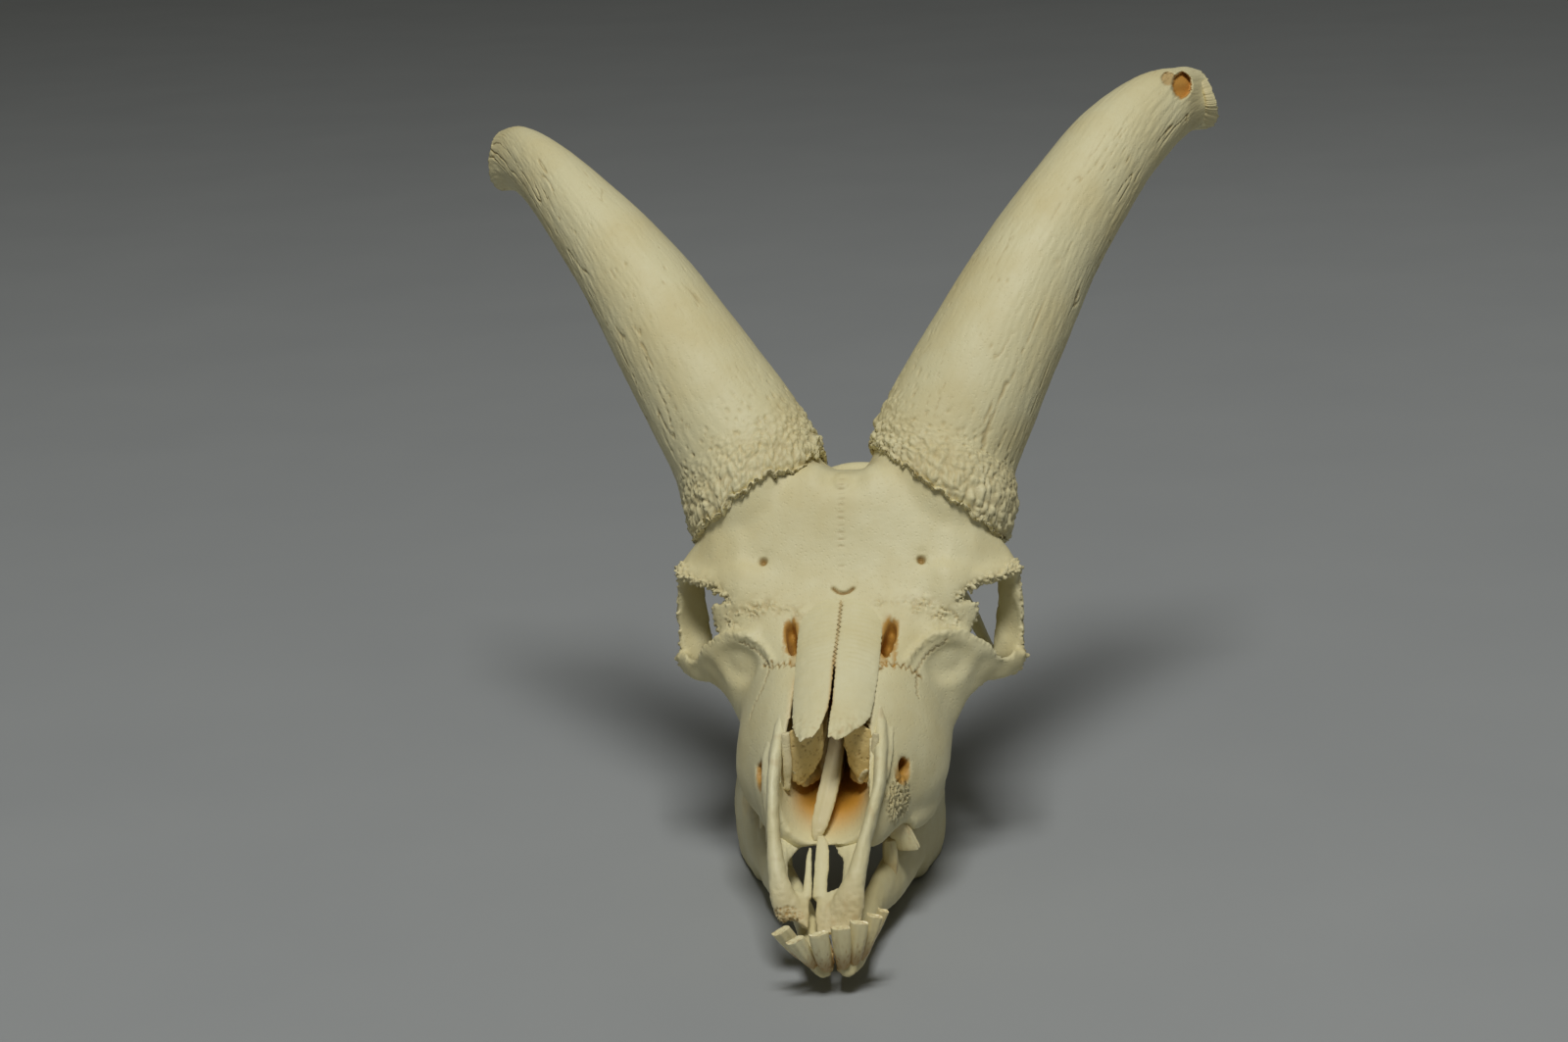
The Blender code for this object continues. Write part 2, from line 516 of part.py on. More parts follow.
bm = bmesh.new()
mirrored(bm, tube, SUPRAORBITAL, wide=Vector((0, 0, 1)))
mirrored(bm, tube, ZYGOMATIC_ARCH)
mirrored(bm, tube, OCCIPITAL_CREST, wide=Vector((0, 1, 0)))
mirrored(bm, tube, PARAOCCIPITAL)
mirrored(bm, tube, EAR_TUBE)
tube(bm, SKULL_BASE)
for form in (BROW, CHEEK, ORBIT_FRONT, ORBIT_BAR, PTERYGOID):
    mirrored(bm, plate, form, steps=16)
mirrored(bm, ball, *OCCIPITAL_CONDYLE)
mirrored(bm, ball, *EAR_BULLA)
for core in (HORN_LEFT, HORN_RIGHT):
    tube(bm, core, steps=24)
added(cranium, mesh_object("forms", bm))
fused(cranium, BONE_SKIN, 6)

# Openings in the cranium.
bm = bmesh.new()
mirrored(bm, ball, *ORBIT)
ball(bm, *BRAIN)
tube(bm, FORAMEN_MAGNUM)
mirrored(bm, tube, BROW_FORAMEN, steps=8)
mirrored(bm, tube, CHEEK_FORAMEN, steps=8)
mirrored(bm, plate, NASAL_SLIT)
rings = []
for y, half, low, high in NASAL_CAVITY:
    across = Vector((half, 0, 0))
    upward = Vector((0, 0, (high - low) / 2))
    rings.append(circle(bm, Vector((midline(y), y, (low + high) / 2)), across, upward, 16))
skin(bm, rings)
cut(cranium, fused(mesh_object("openings", bm), THIN_SKIN, 1))
thinned(cranium, CRANIUM_TRIANGLES)

# Horn cores are hollow: a sinus runs from the brow to near each broken end.
bm = bmesh.new()
for core in (HORN_LEFT, HORN_RIGHT):
    hollow = [(*c[:3], c[3] - CORE_WALL, c[4] - CORE_WALL, c[5]) for c in core if c[4] > CORE_WALL + LEAST_SINUS]
    tube(bm, hollow, steps=14)
for outer, inner, radius in CORE_HOLES:
    tube(bm, ((*outer, radius, radius), (*inner, radius, radius)), steps=10)
cut(cranium, thinned(fused(mesh_object("sinuses", bm), BONE_SKIN, 1), SINUS_TRIANGLES))

# The beds of the neighbouring bones and teeth, each a gap wider than what lies in it.
beds = bmesh.new()

# Nasal bones.
nasals = []
for name, stations in (("nasal_bone_left", NASAL_LEFT), ("nasal_bone_right", NASAL_RIGHT)):
    bm = bmesh.new()
    nasal_shape(bm, stations)
    nasals.append(mesh_object(name, bm))
    nasal_shape(beds, stations, grow=GAP, lift=NASAL_BED_LIFT)

# Premaxillae.
premaxillae = []
for name, bar, end, splint in (
    ("premaxilla_left", BAR_LEFT, PLATE_LEFT, SPLINT_LEFT),
    ("premaxilla_right", BAR_RIGHT, PLATE_RIGHT, SPLINT_RIGHT),
):
    bm = bmesh.new()
    tube(bm, bar)
    plate(bm, end)
    tube(bm, splint)
    bone = fused(mesh_object(name, bm), THIN_SKIN, 3)
    premaxillae.append(thinned(bone, PREMAXILLA_TRIANGLES))
    tube(beds, bar, steps=12, grow=BAR_CLEAR)

# Vomer and the scrolls.
inner_bones = []
for name, stations in (("vomer", VOMER), *CONCHAE.items()):
    bm = bmesh.new()
    plate(bm, stations, steps=8)
    inner_bones.append(mesh_object(name, bm))
    plate(beds, stations, steps=8, grow=GAP)

# Upper cheek teeth.
teeth = []
for side, word in ((1, "left"), (-1, "right")):
    for name, y, x, length, width, height in UPPER_TEETH:
        sizes = (side * x + midline(y), y, length, width, height + TOOTH_ROOT, upper_bite)
        bm = bmesh.new()
        cheek_tooth(bm, *sizes)
        teeth.append(mesh_object(f"upper_{name}_{word}", bm))
        cheek_tooth(beds, *sizes, grow=GAP)
cut(cranium, mesh_object("beds", beds))

# Lower jaw halves, with their cheek teeth and incisors in sockets.
jaws = []
for side, word in ((1, "left"), (-1, "right")):
    bm = bmesh.new()
    flip = Vector((side, 1, 1))
    tube(bm, [(side * s[0], *s[1:]) for s in JAW_BODY])
    for form in (JAW_RAMUS, JAW_SHELF, CORONOID, CONDYLE_NECK):
        plate(bm, [(Vector(a) * flip, Vector(b) * flip, thick) for a, b, thick in form])
    ball(bm, Vector(JAW_CONDYLE[0]) * flip, JAW_CONDYLE[1])
    jaw = fused(mesh_object(f"mandible_{word}", bm), BONE_SKIN, 4)
    thinned(jaw, JAW_TRIANGLES)
    bm = bmesh.new()
    bm.from_mesh(jaw.data)
    everything = bm.verts[:] + bm.edges[:] + bm.faces[:]
    ground = (0, 0, JAW_FLAT_Z)
    sliced = bmesh.ops.bisect_plane(bm, geom=everything, plane_co=ground, plane_no=(0, 0, -1), clear_outer=True)
    bmesh.ops.holes_fill(bm, edges=[g for g in sliced["geom_cut"] if isinstance(g, bmesh.types.BMEdge)])
    bm.to_mesh(jaw.data)
    bm.free()
    sockets = bmesh.new()
    for name, y, x, length, width, height in LOWER_TEETH:
        sizes = (side * x, y, length, width, -height - TOOTH_ROOT, lower_bite)
        bm = bmesh.new()
        cheek_tooth(bm, *sizes)
        teeth.append(mesh_object(f"lower_{name}_{word}", bm))
        cheek_tooth(sockets, *sizes, grow=GAP)
    for name in [name for name in INCISORS if word in name]:
        bm = bmesh.new()
        incisor(bm, *INCISORS[name])
        teeth.append(mesh_object(name, bm))
        incisor(sockets, *INCISORS[name], grow=GAP)
    jaws.append(cut(jaw, mesh_object("sockets", sockets)))

# Everything into the resting pose, in metres, with the middle of its footprint at the origin.
skull_bones = (cranium, *nasals, *premaxillae, *inner_bones)
for obj in (*skull_bones, *[tooth for tooth in teeth if tooth.name.startswith("upper")]):
    obj.data.transform(SKULL_TO_REST)
for obj in (*jaws, *[tooth for tooth in teeth if not tooth.name.startswith("upper")]):
    obj.data.transform(JAW_TO_REST)
whole = (*skull_bones, *jaws, *teeth)
points = np.array([v.co for obj in whole for v in obj.data.vertices])
low, high = points.min(axis=0), points.max(axis=0)
CENTRE = Vector(((low[0] + high[0]) / 2, (low[1] + high[1]) / 2, low[2]))
for obj in whole:
    obj.data.transform(Matrix.Scale(MM, 4) @ Matrix.Translation(-CENTRE))

finished(cranium, BONE, BONE_ROUGHNESS)
for obj in (*nasals, *premaxillae):
    finished(obj, NASAL_TINT, BONE_ROUGHNESS)
for obj in inner_bones:
    finished(obj, INNER_BONE, BONE_ROUGHNESS)
for obj in jaws:
    finished(obj, JAW_BONE, BONE_ROUGHNESS)
for obj in teeth:
    finished(obj, ENAMEL, ENAMEL_ROUGHNESS)
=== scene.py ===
import math

import bmesh
import bpy
import numpy as np
from mathutils import Matrix, Vector, noise


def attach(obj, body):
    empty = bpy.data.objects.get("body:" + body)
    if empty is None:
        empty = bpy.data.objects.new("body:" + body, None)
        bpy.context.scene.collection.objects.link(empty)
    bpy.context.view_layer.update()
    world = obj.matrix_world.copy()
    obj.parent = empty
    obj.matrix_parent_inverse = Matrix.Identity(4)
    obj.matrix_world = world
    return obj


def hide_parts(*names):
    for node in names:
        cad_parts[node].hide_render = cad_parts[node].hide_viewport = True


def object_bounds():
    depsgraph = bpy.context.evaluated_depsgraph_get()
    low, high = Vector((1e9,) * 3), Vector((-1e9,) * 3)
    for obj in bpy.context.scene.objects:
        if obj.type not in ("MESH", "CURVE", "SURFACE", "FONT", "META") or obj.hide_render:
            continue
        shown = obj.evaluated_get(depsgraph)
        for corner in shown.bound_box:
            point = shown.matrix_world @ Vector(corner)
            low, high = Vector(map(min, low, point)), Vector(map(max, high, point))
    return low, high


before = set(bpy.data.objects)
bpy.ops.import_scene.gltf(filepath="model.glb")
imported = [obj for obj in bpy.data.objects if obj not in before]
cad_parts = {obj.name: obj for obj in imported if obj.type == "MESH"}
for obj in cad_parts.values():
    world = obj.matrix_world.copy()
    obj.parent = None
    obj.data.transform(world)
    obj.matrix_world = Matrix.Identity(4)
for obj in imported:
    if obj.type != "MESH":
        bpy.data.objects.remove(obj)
cad_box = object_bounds()

# The skull: braincase, face, eye sockets and cheek arches, thin ivory bone grown as one piece, with stubs for the
# horn cores. It is drawn in its own frame in millimetres, x to the animal's left, y back from the root of the
# nasal bones, z up from the sockets of the cheek teeth, and turned nose down at the end to rest on the jaw.
NOSE_DOWN = math.radians(14.0)
NASION_HEIGHT = 80.0
REST_NASION_Z = 145.0
FOOTPRINT_MIDDLE = Vector((-6.245, 29.0227, 0.4))
MILLIMETRES = Matrix.Scale(0.001, 4) @ Matrix.Translation(-FOOTPRINT_MIDDLE)
REST_LIFT = REST_NASION_Z - NASION_HEIGHT * math.cos(NOSE_DOWN)
SKULL_AT_REST = (
    MILLIMETRES
    @ Matrix.Translation((0, NASION_HEIGHT * math.sin(NOSE_DOWN), REST_LIFT))
    @ Matrix.Rotation(NOSE_DOWN, 4, "X")
)
SNOUT_LEAN = 0.045
SNOUT_START_Y = -10.0
SKULL_SKIN = 1.7
SKULL_GRAIN = 1.6
OPENING_SKIN = 1.1

# Half outlines across the skull: the y of each, then x and z from the crown down to the palate.
SKULL_SECTIONS = (
    (-97, ((0, 20), (13, 22), (20, 21), (24, 17), (25, 9), (21, 2), (15, 3), (0, 4))),
    (-80, ((0, 40), (14, 41), (21, 40), (27, 32), (31, 14), (26, -1), (16, 4), (0, 6))),
    (-64, ((0, 56), (15, 55), (23, 50), (33, 37), (38.5, 13), (34, -4), (17, 5), (0, 8))),
    (-50, ((0, 62), (17, 61), (27, 55), (40, 38), (47, 12), (41, -7), (17, 6), (0, 9))),
    (-38, ((0, 66), (18, 64), (30, 58), (43, 40), (51, 13), (44.5, -8), (17, 7), (0, 10))),
    (-22, ((0, 70), (20, 68), (33, 61), (42, 43), (50, 16), (44.5, -7), (17, 8), (0, 11))),
    (-10, ((0, 75), (22, 74), (45, 70), (50, 46), (50, 20), (42, -5), (17, 9), (0, 12))),
    (2, ((0, 82), (34, 83), (60, 76), (52, 52), (44, 24), (35, -3), (17, 11), (0, 14))),
    (12, ((0, 95), (42, 92), (63, 82), (40, 58), (33, 36), (26, 4), (15, 12), (0, 16))),
    (22, ((0, 111), (44, 105), (66, 90), (35, 66), (27, 46), (20, 22), (12, 18), (0, 20))),
    (34, ((0, 124.6), (40, 121), (64, 98), (38, 76), (31, 56), (20, 34), (10, 24), (0, 24))),
    (44, ((0, 123.6), (26, 122.4), (50, 104), (39, 82), (32, 60), (21, 40), (10, 28), (0, 26))),
    (56, ((0, 117), (24, 115.6), (42, 100), (39, 82), (33, 62), (22, 44), (10, 32), (0, 28))),
    (70, ((0, 111), (23, 108), (37, 94), (39, 78), (34, 60), (23, 44), (10, 33), (0, 29))),
    (84, ((0, 102), (21, 99), (34, 87), (38, 72), (34, 56), (23, 43), (10, 33), (0, 30))),
    (97, ((0, 92), (16, 90), (29, 80), (35, 66), (32, 53), (22, 42), (9, 36), (0, 33))),
    (107, ((0, 84), (12, 82), (23, 74), (29, 62), (27, 52), (18, 45), (8, 41), (0, 40))),
    (112, ((0, 76), (8, 75), (16, 68), (19, 60), (18, 52), (12, 47), (5, 46), (0, 46))),
)

# Bars of bone: x, y, z of the middle, then the two half widths across the run.
BROW_BAR = (
    (16, 12, 76, 8, 3), (30, 11, 79, 10, 5), (50, 14, 81, 10, 5.4),
    (66, 19, 79.5, 10, 4), (73, 24, 79, 8.5, 3.0), (77, 28, 78.6, 5, 2.4),
)
CHEEK_ARCH = (
    (75, 17, 31, 6, 2.6), (70, 29, 22.5, 5, 2.3), (65, 42, 17.5, 4.8, 2.3),
    (60.5, 56, 16.5, 5, 2.6), (53, 68, 26, 5.5, 3.6), (38, 77, 46, 8, 7),
)
NAPE_CREST = (
    (42, 96, 44, 8, 5), (39, 99, 57, 8, 5), (31, 102, 69, 8, 5), (21, 105, 76.6, 8, 5),
    (10, 107, 80.5, 8, 4.6), (0, 107.5, 81.6, 8, 4.6),
)
NECK_SPUR = ((38, 100, 50, 8, 5), (37, 102, 34, 7, 4), (34, 101, 18, 5.5, 3), (31, 98, 4, 3, 2))
SKULL_BASE = (
    (0, 108, 27, 11, 6), (0, 92, 25, 10, 7), (0, 74, 26, 8, 7),
    (0, 55, 25, 7, 8), (0, 36, 22, 7, 9), (0, 20, 18, 9, 8),
)
EAR_TUBE = ((22, 84, 40, 7, 7), (33, 86, 47, 6, 6), (44, 88, 54, 5, 5))
STUB_LEFT = ((39, 50, 90, 33, 32, -0.28), (41.5, 57, 100, 37, 35.5, -0.28), (45, 72, 116.3, 36, 34, -0.16))
STUB_RIGHT = ((-39, 50, 90, 33, 32, 0.28), (-43, 57, 101, 37, 35.5, 0.28), (-52.4, 71.6, 117.2, 36, 33.4, 0.16))
STUB_INSET = -1.8

# Plates of bone: one edge, the other edge and the half thickness between them.
CHEEK_PLATE = (
    ((80, 16, 38), (77, 14, 30), 2.8), ((74, 5, 45), (71, 7, 29.5), 2.8), ((66, -2, 53), (62, -0.5, 31), 3.0),
    ((57, -7, 61), (54.5, -6, 27), 3.2), ((48, -11, 67), (49, -12.5, 17.5), 4.2), ((38, -13, 70), (40, -16, 8), 6.0),
)
SOCKET_FRONT = (
    ((30, 8, 86), (32, -8, 48), 5), ((46, 10, 90), (46, -8, 52), 6.4), ((55, 12, 87), (53, -5, 56), 5),
    ((59, 10, 77), (58, 0, 60), 3.4), ((61.4, 6, 70), (60.2, 3, 62), 2.6),
)
SOCKET_BAR = (
    ((77.2, 24, 79.5), (68, 34, 82), 3.0), ((79.4, 20, 68), (67.4, 35, 69), 2.7), ((80.2, 18, 56), (67, 34, 55), 2.6),
    ((80, 15, 45), (65, 29, 43), 2.8), ((79.4, 12, 35), (63, 21, 32), 3.2),
)
BROW_PLATE = (
    ((34, 12, 80), (34, 36, 110), 3.5), ((46, 9, 80), (48, 36, 108), 6), ((56, 11, 78.5), (58, 39, 103), 5.6),
    ((66, 17, 79), (63, 42, 92), 4.6), ((73.5, 24, 79), (69, 39, 82), 3.4), ((76, 28.5, 79), (72, 38, 78.5), 2.4),
)
PALATE_WING = (
    ((14, 2, 14), (13, 4, -1), 2.2), ((14, 18, 30), (12.5, 20, 1), 1.8),
    ((13, 32, 32), (11.5, 34, 4), 1.6), ((12, 44, 33), (11, 48, 14), 1.6),
)
SOCKET_EDGE = (
    ((31, -68, 4), (30.5, -67, -4.5), 2.4), ((34.5, -58, 4), (34.5, -56, -9.5), 2.6),
    ((38.5, -46, 4), (38.5, -44, -11.5), 2.8),
    ((41, -30, 4), (41, -29, -12), 2.8), ((42, -14, 6), (41, -14, -10), 2.8), ((41.5, 2, 8), (39, 0, -7), 2.4),
)
NECK_KNUCKLE = ((17, 112, 27), (11, 8.5, 12), 20)
EAR_CAPSULE = ((24, 87, 28), (8.5, 9, 12.5))

# Openings: centre, half sizes and turn about z, or bars and plates as above.
EYE_SOCKET = ((65, 14, 57), (13.5, 26, 17.5), 45)
SOCKET_NOTCH = ((54, -2, 77.6, 2.0, 3.0), (58.4, 7, 73.2, 3.0, 5.8), (61, 24, 63, 5, 6), (63, 40, 54, 5, 6))
BRAIN_SPACE = ((0, 66, 68), (28, 29, 28))
NECK_HOLE = ((0, 74, 66, 8, 8), (0, 98, 50, 9, 9), (0, 124, 41, 10.5, 10.5))
BROW_HOLE = ((36, 6, 104, 2.6, 2.6), (35.5, 14, 88, 2.4, 2.4), (34, 20, 80, 2, 2))
CHEEK_HOLE = ((40, -82, 31, 5.0, 4.0), (26, -62, 29, 4.2, 3.2), (16, -54, 28, 3.4, 2.4))
FACE_SLIT = (
    ((24.8, -7.5, 92), (20.4, -33, 84), 2.5), ((23.6, -8.5, 68), (19.4, -31, 58), 2.6),
    ((17, -15, 46), (16, -29, 44), 2.4),
)
NOSE_SPACE = (
    (-104, 19, 6.5, 34), (-88, 19.5, 8, 46), (-70, 20.5, 10, 60), (-50, 19.5, 12, 72), (-30, 18.5, 14, 57),
    (-12, 17, 17, 58), (4, 13, 22, 54), (14, 8, 28, 48),
)


def midline(y):
    """The nose leans a little to the animal's right, away from the brow."""
    return SNOUT_LEAN * min(0.0, y - SNOUT_START_Y)


def skin(bm, rings):
    """Joins each ring to the next and closes both ends."""
    for pair in zip(rings, rings[1:]):
        ends = {v for ring in pair for v in ring}
        edges = {e for v in ends for e in v.link_edges if e.verts[0] in ends and e.verts[1] in ends}
        bmesh.ops.bridge_loops(bm, edges=list(edges))
    for end in (rings[0], rings[-1]):
        bm.faces.new(end)


def circle(bm, centre, first, second, steps):
    """A ring whose half axes are the vectors first and second."""
    normal = first.cross(second).normalized()
    place = Matrix.Translation(centre) @ Matrix((first, second, normal)).transposed().to_4x4()
    return bmesh.ops.create_circle(bm, segments=steps, radius=1.0, matrix=place)["verts"]


def bar(bm, stations, steps=16, grow=0.0, wide=Vector((1, 0, 0))):
    """A bent bar of bone through stations of x, y, z and two half widths, the second along wide."""
    middles = [Vector(s[:3]) for s in stations]
    rings = []
    for i, station in enumerate(stations):
        run = (middles[min(i + 1, len(middles) - 1)] - middles[max(i - 1, 0)]).normalized()
        across = (wide - wide.dot(run) * run).normalized()
        lean = station[5] if len(station) > 5 else 0.0
        first = across.cross(run) * (station[3] + grow)
        rings.append(circle(bm, middles[i], first, (across + run * lean) * (station[4] + grow), steps))
    skin(bm, rings)


def plate(bm, stations, steps=16, grow=0.0):
    """A bent plate of bone through stations of two edges and a half thickness."""
    middles = [(Vector(a) + Vector(b)) / 2 for a, b, _ in stations]
    rings = []
    for i, (a, b, thick) in enumerate(stations):
        run = (middles[min(i + 1, len(middles) - 1)] - middles[max(i - 1, 0)]).normalized()
        half = (Vector(a) - Vector(b)) / 2
        side = run.cross(half).normalized() * (thick + grow)
        rings.append(circle(bm, middles[i], half + half.normalized() * grow, side, steps))
    skin(bm, rings)


def knob(bm, centre, radii, turn_z=0.0):
    """A smooth knob of bone, or a hollow of the same shape."""
    turn = Matrix.Rotation(math.radians(turn_z), 4, "Z")
    place = Matrix.Translation(centre) @ turn @ Matrix.Diagonal((*radii, 1))
    bmesh.ops.create_icosphere(bm, subdivisions=3, radius=1.0, matrix=place)


def both_sides(bm, shape, *values, **more):
    """Draws a shape and its twin across the middle of the skull."""
    first = len(bm.verts)
    shape(bm, *values, **more)
    bm.verts.ensure_lookup_table()
    drawn = bm.verts[first:]
    faces = {f for v in drawn for f in v.link_faces}
    twin = bmesh.ops.duplicate(bm, geom=list(drawn) + list(faces))["geom"]
    bmesh.ops.scale(bm, vec=(-1, 1, 1), verts=[g for g in twin if isinstance(g, bmesh.types.BMVert)])
    bmesh.ops.reverse_faces(bm, faces=[g for g in twin if isinstance(g, bmesh.types.BMFace)])


def piece(name, bm):
    """Turns a bmesh into an object with its faces outwards."""
    bmesh.ops.recalc_face_normals(bm, faces=bm.faces[:])
    mesh = bpy.data.meshes.new(name)
    bm.to_mesh(mesh)
    bm.free()
    obj = bpy.data.objects.new(name, mesh)
    bpy.context.scene.collection.objects.link(obj)
    return obj


def settled(obj):
    """Turns an object's modifiers into its mesh."""
    bpy.context.view_layer.update()
    mesh = bpy.data.meshes.new_from_object(obj.evaluated_get(bpy.context.evaluated_depsgraph_get()))
    obj.modifiers.clear()
    obj.data = mesh
    return obj


def grown_together(obj, voxel, rounds):
    """One skin over overlapping shapes, with its creases rounded as bone fills them."""
    remesh = obj.modifiers.new("Skin", "REMESH")
    remesh.mode = "VOXEL"
    remesh.voxel_size = voxel
    if rounds:
        smooth = obj.modifiers.new("Round", "SMOOTH")
        smooth.factor = 0.5
        smooth.iterations = rounds
    return settled(obj)


def opened(obj, cutter):
    """Cuts one shape out of another."""
    cut = obj.modifiers.new("Cut", "BOOLEAN")
    cut.operation = "DIFFERENCE"
    cut.solver = "MANIFOLD"
    cut.object = cutter
    settled(obj)
    bpy.data.objects.remove(cutter)
    return obj


bm = bmesh.new()
rings = []
for y, half in SKULL_SECTIONS:
    outline = list(half) + [(-x, z) for x, z in half[-2:0:-1]]
    ring = [bm.verts.new((x + midline(y), y, z)) for x, z in outline]
    for a, b in zip(ring, ring[1:] + ring[:1]):
        bm.edges.new((a, b))
    rings.append(ring)
skin(bm, rings)
skull = piece("skull", bm)
curve = skull.modifiers.new("Curve", "SUBSURF")
curve.levels = curve.render_levels = 3
settled(skull)

bm = bmesh.new()
bm.from_mesh(skull.data)
both_sides(bm, bar, BROW_BAR, wide=Vector((0, 0, 1)))
both_sides(bm, bar, CHEEK_ARCH)
both_sides(bm, bar, NAPE_CREST, wide=Vector((0, 1, 0)))
both_sides(bm, bar, NECK_SPUR)
both_sides(bm, bar, EAR_TUBE)
bar(bm, SKULL_BASE)
for form in (BROW_PLATE, CHEEK_PLATE, SOCKET_FRONT, SOCKET_BAR, PALATE_WING, SOCKET_EDGE):
    both_sides(bm, plate, form)
both_sides(bm, knob, *NECK_KNUCKLE)
both_sides(bm, knob, *EAR_CAPSULE)
for stub in (STUB_LEFT, STUB_RIGHT):
    bar(bm, stub, steps=32, grow=STUB_INSET)
bm.to_mesh(skull.data)
bm.free()
grown_together(skull, SKULL_SKIN, 6)

bm = bmesh.new()
both_sides(bm, knob, *EYE_SOCKET)
both_sides(bm, bar, SOCKET_NOTCH)
knob(bm, *BRAIN_SPACE)
bar(bm, NECK_HOLE)
both_sides(bm, bar, BROW_HOLE, steps=12)
both_sides(bm, bar, CHEEK_HOLE, steps=12)
both_sides(bm, plate, FACE_SLIT)
rings = []
for y, half, low, high in NOSE_SPACE:
    middle = Vector((midline(y), y, (low + high) / 2))
    rings.append(circle(bm, middle, Vector((half, 0, 0)), Vector((0, 0, (high - low) / 2)), 24))
skin(bm, rings)
opened(skull, grown_together(piece("skull_openings", bm), OPENING_SKIN, 1))
grown_together(skull, SKULL_GRAIN, 1)

# Seams, ridges and breaks of the surface, each a line or a spot on the bone.
FINE_REACH = 3.6
MID_SEAM = ((-1, 35.5, 123.7), (-0.8, 28, 116.6), (-0.8, 17.6, 102.2), (-0.7, 6.6, 88.1), (-0.6, 1.5, 82.8))
NOSE_ROOT_GAP = ((-4.2, 0.2, 81.6), (-2.0, -1.3, 80.6), (0.4, -1.9, 80.3), (2.8, -1.3, 80.7), (5.0, 0.0, 81.8))
FACE_SEAMS = (
    ((-33, -26, 58.6), (-28, -31.9, 60.3), (-24.2, -33.3, 62.2), (-19.6, -35.4, 63.6)),
    ((19.2, -35.4, 62.9), (22.8, -32.7, 62.4), (26.2, -31.9, 60.8), (29.4, -30.1, 58.7), (34.6, -28.6, 54)),
)
CHEEK_SEAMS = (
    (
        (-45.2, -14.3, 62.7), (-40.2, -17.2, 60.8), (-35.3, -22.3, 59.7),
        (-31, -30, 58.5), (-34, -38, 52), (-40, -44, 42),
    ),
    ((46.4, -14.1, 61.6), (40.8, -17.5, 59.1), (37.4, -21.2, 57.3), (34.2, -28, 55), (36, -38, 50), (42, -44, 40)),
)
SIDE_SEAMS = (
    ((-30, 88, 88), (-20, 86, 98), (0, 84, 102.5), (20, 86, 98), (30, 88, 88)),
    ((-38, 86, 70), (-40, 70, 66), (-36, 52, 60), (-30, 38, 52)),
    ((38, 86, 70), (40, 70, 66), (36, 52, 60), (30, 38, 52)),
)
SOCKET_LIP = (
    (79, 15, 37), (74, 5.5, 45.5), (66, -1.5, 53), (58, -6.5, 61), (53.5, -7.5, 63.5), (48, -11.8, 65.5),
    (42.2, -14.5, 66), (37.4, -16.4, 64), (33, -21.3, 62), (30.6, -27, 60.6),
)
WRINKLED = (
    ((-51, -5, 69), (-44, -5.5, 72.5), (-36, -5.6, 75.6), (-30, -6, 76), (-25, -8, 75), (-20.5, -10.4, 73.9)),
    ((50, -5.5, 69), (42, -5.6, 73), (36, -5, 76), (30, -6.5, 76), (24, -7.5, 75.4), (18.5, -7, 76.4)),
)
SOCKET_BROW = (
    (77.5, 25, 80), (73.5, 16, 80), (70, 12.4, 80), (66, 9.8, 79), (62, 7.6, 79), (57, 3.5, 78.4), (52, 0, 76),
)
SOCKET_OUTER = ((79.4, 25, 77), (80, 19, 66), (80.4, 17, 56), (80, 15, 45), (79, 14, 36), (76, 13, 31))
TEAR_EDGE = ((57, 6, 77), (60.5, 4.5, 70), (60, 4, 65), (57.5, 0, 61.5))
CHEEK_FUNNEL = ((48, -15, 52), (17, 13, 13))
CHEEK_DISH = ((64, -3, 40), (16, 13, 14))
CREST_PEAK = ((-0.6, 35, 122), (6, 8, 8))
SADDLE_HALF = 10.5
SADDLE_DEPTH = 4.8
SOCKET_MIDDLE = Vector((70, 14, 58))
SOCKET_REACH = (24, 30, 32)
ROOT_BREAK = ((25.5, -76, 18), (9.5, 13, 13))
BREAK_DEPTH = 2.0
HOLE_FANS = (((-36.4, 10, 90.8), (-41, 0.5, 85)), ((35.4, 10, 90.6), (40.5, 0.5, 85.6)))
SLIT_LEVELS = (42, 60, 90)
SLIT_MIDDLES = (16.5, 21.8, 22.9)
SLIT_Y = (-20.5, 15)
SLIT_FACE = (78.0, 0.45)
SLIT_WALL_REACH = 4.6
SLIT_FLOOR_REACH = 3.4
CHEEK_HOLE_REACH = 7.0
LINE_LIFT = 4.5


def places_of(mesh):
    """Where each point of a mesh is."""
    flat = np.empty(len(mesh.vertices) * 3, np.float32)
    mesh.vertices.foreach_get("co", flat)
    return flat.reshape(-1, 3).astype(float)


def directions_of(mesh):
    """Which way each point of a mesh faces."""
    flat = np.empty(len(mesh.vertices) * 3, np.float32)
    mesh.vertex_normals.foreach_get("vector", flat)
    return flat.reshape(-1, 3).astype(float)


def set_places(mesh, places):
    """Moves each point of a mesh."""
    mesh.vertices.foreach_set("co", places.astype(np.float32).ravel())
    mesh.update()


def keep_value(mesh, name, values):
    """Stores a value from 0 to 1 at each point, for the finish to read."""
    stored = mesh.attributes.new(name, "FLOAT", "POINT")
    stored.data.foreach_set("value", np.clip(values, 0, 1).astype(np.float32))


def ease(low, high, value):
    """0 at low, 1 at high, and smooth between them."""
    t = np.clip((value - low) / (high - low), 0, 1)
    return t * t * (3 - 2 * t)


def swell(places, size, seed=0.0):
    """Soft lumps between -1 and 1, about the size given."""
    return np.array([noise.noise(p) for p in (places / size + seed).tolist()])


def crumbs(places, size):
    """How far each place is from its nearest scattered point, and how much further the next one is."""
    found = [noise.voronoi(p)[0] for p in (places / np.asarray(size)).tolist()]
    near = np.array([(d[0], d[1]) for d in found])
    return near[:, 0], near[:, 1] - near[:, 0]


